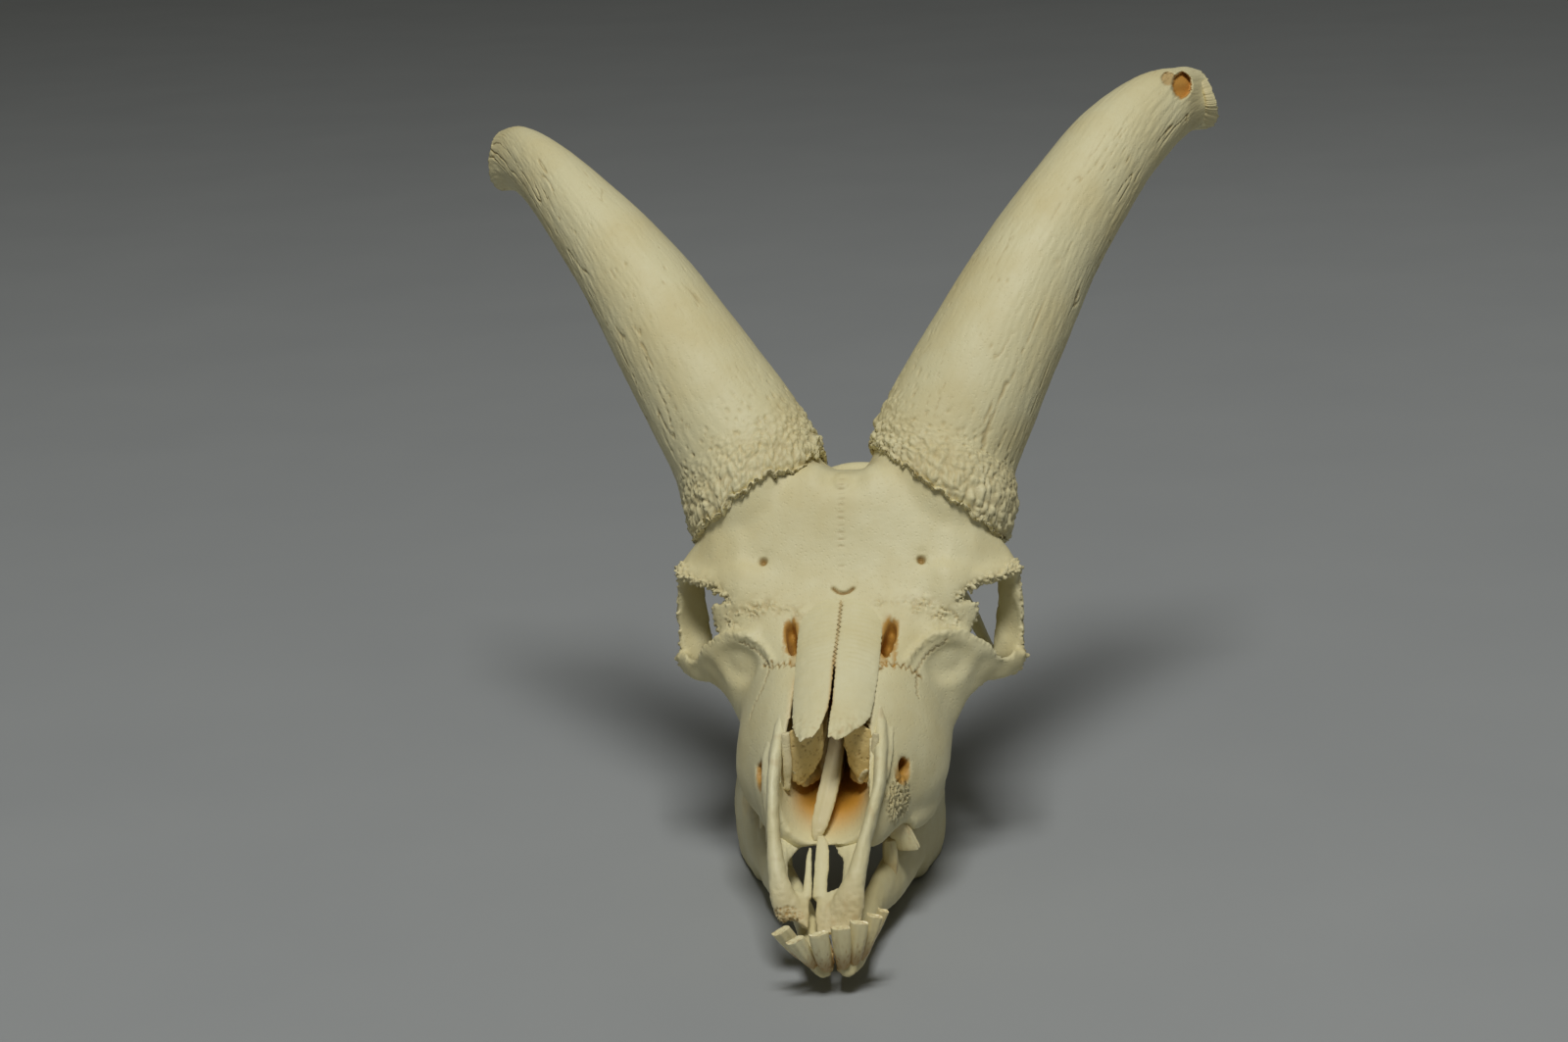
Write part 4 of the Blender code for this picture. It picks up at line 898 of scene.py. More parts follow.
# The nasal bones: two thin arched plates over the nose. Their toothed seam opens to a slit towards the free
# ragged ends; the right one (on the viewer's left) runs lower and further out. They lie against the brow.
# Stations: y, height, inner and outer edge, and the drop of the outer edge.
NASAL_LEFT = (
    (3, 79.4, 0.5, 13.4, 2.8), (-1, 79.2, 0.5, 16.2, 3.2), (-5, 78.8, 0.5, 17.4, 3.6), (-10, 77.6, 0.6, 18.2, 3.8),
    (-20, 74.6, 0.6, 18.8, 4.2), (-32, 71.0, 0.4, 18.6, 4.8),
    (-45, 67.2, 0.0, 18.2, 5.0), (-58, 63.6, 0.0, 17.4, 5.0),
    (-66, 61.4, -0.2, 16.6, 4.6), (-71, 60.2, -0.4, 14.6, 3.9),
    (-77, 58.6, -0.8, 9.8, 2.6), (-83.5, 57.0, -0.4, 3.8, 1.4),
)
NASAL_RIGHT = (
    (3, 79.4, -0.5, -13.4, 2.8), (-1, 79.2, -0.5, -16.2, 3.2),
    (-5, 78.8, -0.6, -17.4, 3.6), (-10, 77.6, -0.7, -18.2, 3.8),
    (-20, 74.6, -0.7, -18.8, 4.2), (-32, 71.0, -0.9, -18.8, 4.8),
    (-45, 67.2, -1.0, -18.6, 5.0), (-58, 63.6, -1.1, -18.2, 5.0),
    (-66, 61.4, -1.5, -17.7, 4.7), (-72, 59.7, -3.0, -17.0, 4.3),
    (-78, 58.0, -4.8, -15.4, 3.2), (-83.4, 56.8, -7.4, -12.8, 2.0),
)
NASAL_HALF_THICK = 1.3
SEAM_FORWARD = (-3, 20, 32, 39, 64, 83)
SEAM_X = (0.0, -0.2, -0.55, -0.9, -0.7, -3.5)
SEAM_OPENS_Y = -42.0


def rolled(name, around, along, place_at):
    """A closed skin rolled up from a sheet: place_at gives a point for each turn and share of the length."""
    bm = bmesh.new()
    bmesh.ops.create_grid(bm, x_segments=around, y_segments=along, size=1.0)
    flat = np.array([v.co for v in bm.verts])
    for v, place in zip(bm.verts, place_at(math.pi * flat[:, 0], (flat[:, 1] + 1) / 2).tolist()):
        v.co = place
    bmesh.ops.remove_doubles(bm, verts=bm.verts[:], dist=0.01)
    return piece(name, bm)


def dressed(obj, relief, stain_and_shade, marrow=0.0):
    """Raises and sinks a piece's surface and keeps where it is stained or painted with shade, and where it shows
    marrow.
    """
    mesh = obj.data
    set_places(mesh, places_of(mesh) + directions_of(mesh) * relief[:, None])
    keep_value(mesh, "stain_and_shade", stain_and_shade)
    keep_value(mesh, "marrow", marrow * np.ones(len(mesh.vertices)))


def nasal_bone(name, stations, side):
    """A thin arched plate, toothed along its inner edge where it meets its twin and ragged at its free end."""
    knots = np.array(stations, float)

    def place_at(turn, share):
        y = knots[0, 0] + (knots[-1, 0] - knots[0, 0]) * share
        z, inner, outer, drop = (np.interp(-y, -knots[:, 0], knots[:, k]) for k in (1, 2, 3, 4))
        other = np.interp(-y, SEAM_FORWARD[:4], SEAM_X[:4])
        phase = np.array([(a / 2.6 + 0.4 * noise.noise((a / 7, 0, 0))) % 1 for a in y.tolist()])
        zig = 0.9 * (4 * np.abs(phase - 0.5) - 1)
        closed = ease(SEAM_OPENS_Y - 5, SEAM_OPENS_Y + 3, y)
        inner = inner * (1 - closed) + (other + zig * ease(2, -6, y) + side * 0.16) * closed
        rag = np.array([noise.noise((a / 1.6, side * 7.0, b)) for a, b in zip(y.tolist(), np.cos(turn).tolist())])
        inner = inner + side * 0.35 * rag * (1 - closed)
        outer = outer - side * (0.3 + 0.5 * ease(-60, -78, y)) * rag
        across = 0.5 - 0.5 * np.cos(turn)
        x = inner + (outer - inner) * across
        tip = np.sqrt(np.clip(1 - (np.clip(share - 0.985, 0, 1) / 0.015) ** 2, 0, 1)) * ease(0.0, 0.02, share)
        lip = np.sin(turn)
        up = NASAL_HALF_THICK * np.sign(lip) * np.abs(lip) ** 0.75 * (0.45 + 0.55 * ease(-84, -64, y)) * tip
        x = np.where((share > 0) & (share < 1), x, (inner + outer) / 2)
        crumble = np.array([noise.noise((a / 1.9, side * 3.0, 5.0)) for a in x.tolist()]) * ease(-66, -82, y)
        bow = 0.7 * np.sin(np.clip(-y / 80, 0, 1) * math.pi)
        level = z - NASAL_HALF_THICK - drop * across**2 + bow * (1 - across) + up
        return np.stack((x, y + 1.3 * crumble, level), axis=1)

    bone = rolled(name, 72, 230, place_at)
    places = places_of(bone.data)
    ends = ease(-62, -82, places[:, 1])
    relief = 0.16 * swell(places, 6.0) + 0.10 * swell(places * (1, 0.3, 1), 2.2) + 0.22 * ends * swell(places, 1.7)
    middle = np.interp(-places[:, 1], SEAM_FORWARD, SEAM_X)
    stain_and_shade = 0.35 * ends * ease(0.1, 0.6, swell(places, 2.2))
    stain_and_shade += 0.6 * np.exp(-((np.abs(places[:, 0] - middle) / 0.7) ** 2))
    # Faces turned down are darkened: painted shade on the undersides.
    stain_and_shade += 0.5 * ease(0.3, -0.4, directions_of(bone.data)[:, 2])
    parted = 0.7 * np.exp(-(((places[:, 0] - middle) / 1.0) ** 2)) * ease(-30, -46, places[:, 1])
    dressed(bone, relief, stain_and_shade, parted)
    in_place(bone, SKULL_AT_REST, NASAL_BONE, "nasal_bone", name)


NASAL_BONE = bone_finish(
    "nasal_bone", (0.78, 0.73, 0.46, 1), (0.72, 0.64, 0.35, 1), (0.46, 0.29, 0.09, 1), (0.62, 0.38, 0.12, 1), 0.56
)
nasal_bone("nasal_bone_left", NASAL_LEFT, 1)
nasal_bone("nasal_bone_right", NASAL_RIGHT, -1)

# The premaxillae: a ridged bar of bone up each side of the nose, a thin web between it and the palate, a flat
# plate at the tip of the snout and a thin splint beside the middle. The right plate has broken to spongy bone.
BAR_LEFT = (
    (17.6, -47, 56, 3.2, 2.4), (19.8, -60, 48, 3.9, 3.0), (21, -74, 42, 4.6, 3.0), (21, -88, 34.5, 5.0, 2.8),
    (17.6, -100, 25, 5.0, 2.7), (15, -108, 18, 4.6, 3.0), (12, -119, 9, 4.3, 4.2),
    (9.5, -125.5, 2.5, 4.0, 6.2), (7.6, -130, -2.5, 3.0, 7.2), (6.2, -134, -6.4, 1.6, 6.4),
)
BAR_RIGHT = (
    (-21.4, -47, 56, 3.2, 2.4), (-23.4, -60, 48, 3.9, 3.0), (-25, -74, 42, 4.6, 2.9), (-25.4, -88, 34.5, 5.0, 2.7),
    (-25, -100, 25, 5.2, 2.8), (-24, -108, 18, 4.8, 3.2), (-22.2, -119, 9, 4.4, 4.0),
    (-19.8, -125.2, 2.2, 4.0, 5.6), (-17.4, -128.6, -2.2, 3.0, 6.4), (-15.4, -131.6, -5.4, 1.6, 5.4),
)
PLATE_LEFT = (
    ((-5.8, -121, -1.5), (14.2, -120, 5), 2.4), ((-6.0, -127, -3.5), (15.6, -127, -0.5), 2.6),
    ((-5.8, -132, -6.4), (15, -132, -4.6), 2.4), ((-5.0, -137.2, -9.6), (13.2, -136.8, -8.4), 1.6),
)
PLATE_RIGHT = (
    ((-8.4, -121, -1.5), (-23.6, -120, 5), 2.4), ((-8.2, -127, -4), (-25.0, -126, 0), 2.7),
    ((-8.0, -131.5, -6.6), (-22, -129.5, -3), 2.5), ((-8.2, -135, -8.6), (-13, -133, -6.6), 1.7),
)
SPLINT_LEFT = (
    (-4.0, -123, -1, 2.2, 3.4), (-4.4, -114, 2.4, 1.7, 3.3), (-4.2, -104, 6.4, 1.6, 3.4),
    (-4.8, -96, 9.4, 1.3, 2.8), (-6.0, -91.5, 10.4, 0.8, 1.4),
)
SPLINT_RIGHT = (
    (-9.6, -123, -1, 1.9, 2.4), (-9.8, -114, 2.4, 1.4, 1.8),
    (-10.2, -105, 5.6, 1.3, 1.5), (-10.0, -97.5, 8.2, 0.9, 1.0),
)
WEB_LEFT = (
    ((-3, -86.5, 6), (17.5, -87, 12), 1.1), ((1, -95, 4), (16.5, -96, 9), 1.1),
    ((4.1, -101.5, 3), (14.5, -103, 9), 1.1),
    ((4.8, -110, 2), (12.5, -111, 8), 1.2), ((4.8, -118, -0.5), (10, -119, 5), 1.5),
    ((4.6, -125, -3), (9, -125, 0), 2.0),
)
WEB_RIGHT = (
    ((-11.2, -87, 5), (-23.5, -88, 12), 1.1), ((-16.6, -95.0, 4), (-24, -96, 10), 1.1),
    ((-19.7, -102.9, 3), (-24, -104, 10), 1.1), ((-19, -110, 2), (-23, -111, 8), 1.2),
    ((-17.5, -118, -1), (-21.5, -119, 4), 1.4), ((-15.8, -126, -3), (-20, -126, 0), 1.8),
)
FLANGE_LEFT = (
    ((19.6, -56, 49), (26, -56, 47), 1.4), ((21.4, -72, 41.5), (26, -72, 39), 1.4),
    ((21.6, -82, 36), (24, -81, 31), 1.2),
)
FLANGE_RIGHT = (
    ((-23.4, -56, 49), (-29, -56, 47), 1.4), ((-25.4, -72, 41.5), (-32, -72, 37), 1.4),
    ((-25.8, -84, 35), (-31.5, -83, 27), 1.3),
    ((-25.4, -95, 27), (-29, -93, 17), 1.2),
)
PREMAXILLA_GRAIN = 0.8
BROKEN_END = ((-18, -131, -4), (10, 6, 6))


def premaxilla(name, rod, end, splint, web, flange, broken):
    """Bar, end plate, splint, web and flange grown into one bone, spongy where the end has broken."""
    bm = bmesh.new()
    bar(bm, rod)
    plate(bm, end)
    bar(bm, splint)
    plate(bm, web)
    plate(bm, flange)
    bone = grown_together(piece(name, bm), PREMAXILLA_GRAIN, 4)
    places, outwards = places_of(bone.data), directions_of(bone.data)
    relief = 0.30 * swell(places, 5.5) + 0.18 * swell(places * (1, 0.25, 0.3), 1.4) + 0.10 * swell(places, 1.2)
    hollow = crest(bone.data, places, outwards, 10)
    # Hollows are darkened as painted shade; the softer patches are random tone.
    stain_and_shade = 0.5 * ease(0.1, 0.8, -hollow) + 0.25 * ease(0.25, 0.7, swell(places, 5.0, 4.0))
    edge = ease(-118, -134, places[:, 1])
    relief += 0.4 * edge * swell(places, 1.9)
    ridge = crumbs(places, 1.6)[1]
    spongy = broken * ease(0.2, 0.5, spot(places, *BROKEN_END) + 0.2 * swell(places, 3.0))
    relief -= 1.3 * spongy * ease(0.1, 0.5, ridge)
    stain_and_shade += spongy * 0.7 * ease(0.05, 0.4, ridge) + 0.25 * edge
    dressed(bone, relief, stain_and_shade)
    in_place(bone, SKULL_AT_REST, NASAL_BONE, "nasal_bone", name)


premaxilla("premaxilla_left", BAR_LEFT, PLATE_LEFT, SPLINT_LEFT, WEB_LEFT, FLANGE_LEFT, 0.25)
premaxilla("premaxilla_right", BAR_RIGHT, PLATE_RIGHT, SPLINT_RIGHT, WEB_RIGHT, FLANGE_RIGHT, 1.0)

# Inside the nose: the vomer, a gutter of bone on an upright blade down the middle, and two paper-thin scrolls
# on each side, tan, porous and ragged where they have crumbled.
VOMER_BLADE = (
    ((-6.4, -91, 12), (-6.6, -91, 8.6), 1.0), ((-5.0, -84, 15.5), (-4.8, -82, 8.2), 1.2),
    ((-2.6, -70, 24), (-2.4, -68, 9.4), 1.4), ((-0.8, -50, 33), (-0.6, -50, 11.4), 1.4),
    ((0, -28, 38), (0, -28, 13.4), 1.4),
)
VOMER_GUTTER = (
    (-8.7, -91.8, 7.6, 0.9, 1.0), (-7.9, -90.6, 9.6, 1.2, 2.6),
    (-6.6, -87, 13.4, 1.5, 3.9), (-4.6, -79.5, 18.8, 1.7, 4.5),
    (-2.7, -70, 25, 1.8, 4.5), (-1.4, -59, 30.6, 1.8, 4.1), (-0.7, -48, 34.6, 1.7, 3.6), (0, -28, 38, 1.6, 2.4),
)
VOMER_FORWARD = (28, 48, 59, 70, 79.5, 87, 91.8)
VOMER_X = (0, -0.7, -1.4, -2.7, -4.6, -6.6, -8.7)
SCROLLS = {
    "nasal_scroll_upper_right": (
        (
            ((-4.2, -68, 55.4), (-5.6, -66, 35), 1.1), ((-9, -70.5, 55), (-10, -69, 28), 1.3),
            ((-14.5, -71.5, 53.4), (-15.4, -71, 22), 1.3), ((-19.4, -71, 51.5), (-19.4, -72, 25), 1.0),
        ),
        (
            ((-5.5, -69, 44), (-13, -69, 34), 3.0), ((-6, -55, 44), (-14, -53, 36), 4.8),
            ((-6, -36, 49), (-14, -34, 41), 4.5), ((-6, -18, 50), (-13, -16, 42), 3.0),
        ),
    ),
    "nasal_scroll_upper_left": (
        (
            ((4.2, -67, 55), (5.4, -66, 30), 1.1), ((8.6, -68, 54.4), (9.2, -68, 23), 1.3),
            ((13.0, -69, 53), (12.8, -69, 22), 1.3), ((17.0, -69.5, 51.6), (16.2, -70, 26), 1.0),
        ),
        (
            ((4.4, -66, 42), (11, -65, 34), 3.0), ((4.5, -53, 44), (12, -51, 36), 4.8),
            ((5.5, -36, 49), (13, -34, 41), 4.5), ((6, -18, 50), (13, -16, 42), 3.0),
        ),
    ),
    "nasal_scroll_lower_right": (
        (
            ((-18.2, -73, 52), (-22.2, -74, 52), 1.2), ((-17.8, -76.5, 37), (-22.2, -77.5, 38), 1.2),
            ((-19.4, -77, 24.5), (-22.6, -78, 25), 0.9),
        ),
        (
            ((-19.0, -73, 32), (-14.2, -70, 21), 1.5), ((-13.6, -62, 27), (-10.0, -60, 18), 3.4),
            ((-11.5, -48, 29), (-8.5, -47, 20), 4.0), ((-11, -28, 34), (-8, -28, 24), 3.6),
        ),
    ),
    "nasal_scroll_lower_left": (
        (
            ((17.4, -72, 51), (20.6, -73, 51), 1.2), ((15.6, -74.5, 37), (19.6, -75.5, 38), 1.2),
            ((13.8, -75, 24), (17.2, -76, 25), 0.9),
        ),
        (
            ((14.4, -72, 32), (10.6, -69, 22), 1.5), ((10.4, -62, 27), (6.6, -60, 18), 3.2),
            ((10, -48, 29), (7.4, -47, 20), 4.0), ((10.6, -28, 34), (7.8, -28, 24), 3.6),
        ),
    ),
}
SCROLL_GRAIN = 0.75

SCROLL_BONE = bone_finish(
    "scroll_bone", (0.86, 0.68, 0.30, 1), (0.80, 0.58, 0.20, 1), (0.40, 0.20, 0.03, 1), (0.74, 0.66, 0.40, 1), 0.66,
    pore_scale=700.0, bump=0.5,
)

bm = bmesh.new()
plate(bm, VOMER_BLADE)
bar(bm, VOMER_GUTTER)
vomer = grown_together(piece("vomer", bm), SCROLL_GRAIN, 3)
places, outwards = places_of(vomer.data), directions_of(vomer.data)
off = places[:, 0] - np.interp(-places[:, 1], VOMER_FORWARD, VOMER_X)
upper = ease(0.0, 0.5, outwards[:, 2] * 0.8 - outwards[:, 1] * 0.6)
gutter = 0.12 * np.cos(off / 3.9 * 2 * math.pi) * upper
relief = gutter + 0.12 * swell(places * (1, 0.3, 0.3), 1.5)
dressed(vomer, relief, 0.2 + 0.3 * ease(-74, -44, places[:, 1]))
in_place(vomer, SKULL_AT_REST, NASAL_BONE, "inner_bone", "vomer")

for name, (curtain, roll) in SCROLLS.items():
    bm = bmesh.new()
    plate(bm, curtain)
    plate(bm, roll)
    scroll = grown_together(piece(name, bm), SCROLL_GRAIN, 2)
    places = places_of(scroll.data)
    pit = ease(0.3, 0.12, crumbs(places, 1.5)[0])
    torn = ease(34, 22, places[:, 2]) * swell(places, 2.2)
    cream = 0.9 if "lower" in name else 0.0
    relief = 0.25 * swell(places, 3.2) + 0.5 * torn - 0.8 * pit * (1 - 0.7 * cream)
    stain_and_shade = 0.6 * pit * (1 - cream) + 0.2 * ease(-66, -40, places[:, 1])
    dressed(scroll, relief, stain_and_shade, cream * ease(-62, -72, places[:, 1]))
    in_place(scroll, SKULL_AT_REST, SCROLL_BONE, "inner_bone", name)

# Upper cheek teeth: six on each side, fluted crowns of enamel held in sockets, worn flat in one sloping plane. The
# first one on the left has slipped and leans out of its broken socket.
# Each: place along the row and across it, length, width, and height of the crown over the gum.
UPPER_TEETH = (
    ("premolar2", -64, 27.0, 7.6, 6.6, 9.3), ("premolar3", -55.3, 28.6, 8.6, 8.6, 10.0),
    ("premolar4", -45.9, 30.0, 9.0, 10.4, 10.8), ("molar1", -34.6, 31.2, 12.4, 12.0, 11.7),
    ("molar2", -20.0, 31.6, 15.4, 12.6, 12.9), ("molar3", -3.6, 31.0, 16.2, 11.8, 14.3),
)
TOOTH_ROOT = 10.0
BITE_AT = Vector((0, -64, -9.3))
BITE_SLOPE = -0.083
LEANING = "upper_premolar2_left"
LEANING_SHIFT = 3.0
LEANING_SPREAD = 1.8
LEANING_TILT = 0.42
LEANING_DROP = 3.8


def upper_bite(x, y):
    """The plane that the upper row is worn to."""
    return BITE_AT.z + BITE_SLOPE * (y - BITE_AT.y)


def cheek_tooth(name, x, y, length, width, root, bite, lobes, lean=0.0):
    """A fluted crown: two lobes side by side in a molar, one in a premolar, hollowed a little on its worn end."""
    side = math.copysign(1, x)

    def place_at(turn, share):
        height = np.interp(share, [0, 0.02, 0.9, 0.94, 1], [1, 0.985, 0.03, 0.0, 0.0])
        size = np.interp(height, [0, 0.1, 0.5, 1.0], [0.86, 0.94, 1.0, 0.7])
        size = size * np.interp(share, [0, 0.02, 0.05, 0.93, 0.945, 1], [0, 0.8, 1, 1, 0.93, 0])
        along, across = np.cos(turn), np.sin(turn)
        waist = 1 - 0.24 * np.exp(-((along / 0.2) ** 2)) * (lobes > 1)
        ribs = 1 + 0.07 * np.cos(3 * math.pi * along) + 0.03 * np.cos(9 * turn)
        boxy = 1 / np.maximum(np.abs(along), np.abs(across)) ** 0.35
        px = x + width / 2 * across * size * waist * ribs * boxy * 0.93 + side * lean * (1 - height) * abs(root)
        py = y + length / 2 * along * size * boxy * 0.93
        dish = 0.9 * np.where(share > 0.94, ease(0.93, 0.3, size), 0) * math.copysign(1, root)
        return np.stack((px, py, root * height + bite(px, py) + dish), axis=1)

    tooth = rolled(name, 48, 40, place_at)
    places = places_of(tooth.data)
    over_bite = np.abs(places[:, 2] - bite(places[:, 0], places[:, 1]))
    streak = swell(places * (1, 1, 0.2), 1.3)
    worn = over_bite < 0.35
    gum = ease(0.35, 0.6, over_bite / abs(root))
    stain_and_shade = 0.3 * gum + 0.3 * ease(0.1, 0.6, streak) + 0.55 * worn * ease(-0.1, 0.4, swell(places, 1.6))
    dressed(tooth, 0.08 * streak, stain_and_shade, 0.0)
    return tooth


ENAMEL = bone_finish(
    "enamel", (0.82, 0.75, 0.45, 1), (0.74, 0.62, 0.30, 1), (0.42, 0.24, 0.06, 1), (0.62, 0.38, 0.12, 1), 0.3,
    bump=0.1,
)
for side, word in ((1, "left"), (-1, "right")):
    for kind, y, x, length, width, height in UPPER_TEETH:
        name = f"upper_{kind}_{word}"
        x = side * x + midline(y)
        lobes = 2 if kind.startswith("molar") else 1
        bite, lean = upper_bite, 0.0
        if name == LEANING:
            x, y, width, lean = x - LEANING_SHIFT, y - LEANING_SHIFT, width * LEANING_SPREAD, LEANING_TILT
            bite = (lambda px, py: upper_bite(px, py) - LEANING_DROP)
        tooth = cheek_tooth(name, x, y, length, width, height + TOOTH_ROOT, bite, lobes, lean)
        in_place(tooth, SKULL_AT_REST, ENAMEL, "tooth", name)

# The lower jaw: two bones that meet in a rough joint at the chin, each with a long body and an upright blade at the
# back with its hook and its hinge knob. It lies on the floor, turned a little towards the animal's right, and is
# drawn in its own frame, with z from the floor.
JAW_AT_REST = MILLIMETRES @ Matrix.Translation((-6.8, 0, 0)) @ Matrix.Rotation(math.radians(5.0), 4, "Z")
JAW_BODY = (
    (4.8, -124, 15.6, 5.4, 4.4), (6.4, -114, 15.0, 6.6, 6.2), (9.0, -102, 17, 7.8, 6.8), (12.0, -88, 20, 7.8, 5.4),
    (15.8, -72, 22.4, 8.2, 4.8), (20.0, -56, 22.8, 10.7, 5.2),
    (24.6, -38, 21.8, 13.6, 6.0), (28.6, -20, 21.2, 16.6, 6.4),
    (31.8, -2, 21.6, 19.5, 6.7), (35.4, 14, 22.2, 22.0, 6.6), (39.6, 30, 23.2, 24.2, 5.8), (43, 44, 24, 25.4, 4.8),
    (46, 56, 22, 23.2, 3.8), (47.6, 64, 19.5, 17.5, 2.8),
)
JAW_BLADE = (
    ((37, 26, 28), (43, 67, 16), 3.6), ((38.5, 33, 46), (43, 68, 38), 3.4), ((40, 41, 64), (42.5, 70, 60), 3.0),
    ((41, 46, 84), (42, 74, 82), 2.6), ((41.5, 50, 98), (41.5, 77, 99), 2.6),
)
JAW_SHELF = (
    ((1.8, -102, 18), (11, -98, 20), 4.4), ((0.8, -114, 16), (12.6, -108, 18.8), 4.6),
    ((0.8, -121, 15.5), (14.8, -113.5, 20.6), 4.2), ((1.2, -125.5, 15.4), (12.6, -119, 18.6), 2.6),
)
JAW_HOOK = (
    ((41.5, 50, 92), (41.5, 66, 94), 2.4), ((42, 54, 108), (42, 66, 108), 2.2),
    ((42.5, 60, 122), (42.5, 69, 121), 1.9), ((43, 68, 134), (43, 73, 131), 1.4),
)
HINGE_NECK = (((41.5, 68, 92), (41.5, 78, 94), 3.0), ((41, 70, 106), (41, 78, 106), 3.2))
HINGE_KNOB = ((41, 75, 111), (9, 4.4, 4.0))
JAW_FLAT_Z = 0.4
JAW_GRAIN = 1.15
JAW_TUCK = (-3.6, 0, 2.0)
CHIN_NERVE_HOLE = ((12.5, -99, 22), (3.4, 6, 3.4))

JAW_BONE = bone_finish(
    "jaw_bone", (0.75, 0.69, 0.41, 1), (0.68, 0.59, 0.30, 1), (0.34, 0.20, 0.05, 1), (0.58, 0.36, 0.12, 1), 0.56
)
for side, word in ((1, "left"), (-1, "right")):
    flip = Vector((side, 1, 1))
    bm = bmesh.new()
    bar(bm, [(side * s[0], *s[1:]) for s in JAW_BODY])
    for form in (JAW_BLADE, JAW_SHELF, JAW_HOOK, HINGE_NECK):
        plate(bm, [(Vector(a) * flip, Vector(b) * flip, thick) for a, b, thick in form])
    knob(bm, Vector(HINGE_KNOB[0]) * flip, HINGE_KNOB[1])
    jaw = grown_together(piece(f"mandible_{word}", bm), JAW_GRAIN, 6)
    places, outwards = places_of(jaw.data), directions_of(jaw.data)
    tuck = ease(17, 4, places[:, 2]) * ease(-84, -60, places[:, 1]) * ease(22, 4, places[:, 1])
    places += tuck[:, None] * (side * JAW_TUCK[0], JAW_TUCK[1], JAW_TUCK[2])
    set_places(jaw.data, places)
    beside_middle = ease(3.4, 0.6, np.abs(places[:, 0])) * ease(-104, -112, places[:, 1])
    front = ease(-96, -118, places[:, 1])
    ridge = crumbs(places, 2.2)[1]
    relief = 0.45 * swell(places, 17.0) + 0.16 * swell(places, 5.0) + 0.12 * swell(places * (1, 0.3, 1), 1.8)
    relief += (0.8 * beside_middle + 0.25 * front) * (ease(0.0, 0.4, ridge) - 0.6)
    mirrored_places = places * (side, 1, 1)
    hole = spot(mirrored_places, *CHIN_NERVE_HOLE) * ease(0, 0.5, outwards[:, 0] * side)
    relief -= 2.2 * hole
    gum = ease(-3.0, 2.0, places[:, 2] - 35.0) * (places[:, 1] < 30) * (places[:, 1] > -56)
    relief += 0.35 * gum * swell(places, 2.2)
    hollow = crest(jaw.data, places, outwards, 12)
    # Hollows, the chin nerve hole and the gaps between the chin joint's crumbs are darkened as painted shade; the gum
    # band is a stain.
    stain_and_shade = 0.7 * beside_middle * (1 - ease(0.0, 0.35, ridge)) + hole**2 + 0.4 * ease(0.1, 1.0, -hollow) + 0.25 * gum
    dressed(jaw, relief, stain_and_shade, 0.6 * beside_middle)
    bm = bmesh.new()
    bm.from_mesh(jaw.data)
    whole = bm.verts[:] + bm.edges[:] + bm.faces[:]
    cut = bmesh.ops.bisect_plane(bm, geom=whole, plane_co=(0, 0, JAW_FLAT_Z), plane_no=(0, 0, -1), clear_outer=True)
    bmesh.ops.holes_fill(bm, edges=[g for g in cut["geom_cut"] if isinstance(g, bmesh.types.BMEdge)])
    bm.to_mesh(jaw.data)
    bm.free()
    in_place(jaw, JAW_AT_REST, JAW_BONE, "jaw_bone", f"mandible_{word}")

# Lower cheek teeth: six narrow fluted teeth in each jaw bone, worn to meet the upper row. The first on the left
# has no tooth above it to wear against and stands up as a rounded peg.
LOWER_TEETH = (
    ("premolar2", -46.0, 21.8, 6.2, 5.0, 10.0), ("premolar3", -38.2, 23.8, 7.2, 5.8, 10.6),
    ("premolar4", -29.2, 26.0, 8.6, 6.8, 11.0), ("molar1", -17.2, 28.8, 13.0, 7.6, 11.0),
    ("molar2", -2.2, 31.8, 14.6, 8.0, 11.0), ("molar3", 16.4, 35.0, 20.2, 8.0, 11.0),
)
BITE_GAP = 0.6
PEG = "lower_premolar2_left"
PEG_PLACE = (24.2, -47.5, 7.6, 7.0)
PEG_RISE = 4.2
PEG_ROUNDING = 0.16
SKULL_TO_JAW = JAW_AT_REST.inverted() @ SKULL_AT_REST
BITE_POINT = SKULL_TO_JAW @ BITE_AT
BITE_NORMAL = SKULL_TO_JAW.to_3x3() @ Vector((0, -BITE_SLOPE, 1))


def lower_bite(x, y):
    """The same plane in the jaw's frame, a small gap below it."""
    slope = (BITE_NORMAL.x * (x - BITE_POINT.x) + BITE_NORMAL.y * (y - BITE_POINT.y)) / BITE_NORMAL.z
    return BITE_POINT.z - slope - BITE_GAP


def peg_top(x, y):
    """The rounded top of the peg."""
    off_middle = (x - PEG_PLACE[0]) ** 2 + (y - PEG_PLACE[1]) ** 2
    return lower_bite(*PEG_PLACE[:2]) + PEG_RISE - PEG_ROUNDING * off_middle


for side, word in ((1, "left"), (-1, "right")):
    for kind, y, x, length, width, height in LOWER_TEETH:
        name = f"lower_{kind}_{word}"
        lobes = 2 if kind.startswith("molar") else 1
        bite = lower_bite
        if name == PEG:
            x, y, length, width = PEG_PLACE
            bite = peg_top
        tooth = cheek_tooth(name, side * x, y, length, width, -height - TOOTH_ROOT, bite, lobes)
        in_place(tooth, JAW_AT_REST, ENAMEL, "tooth", name)

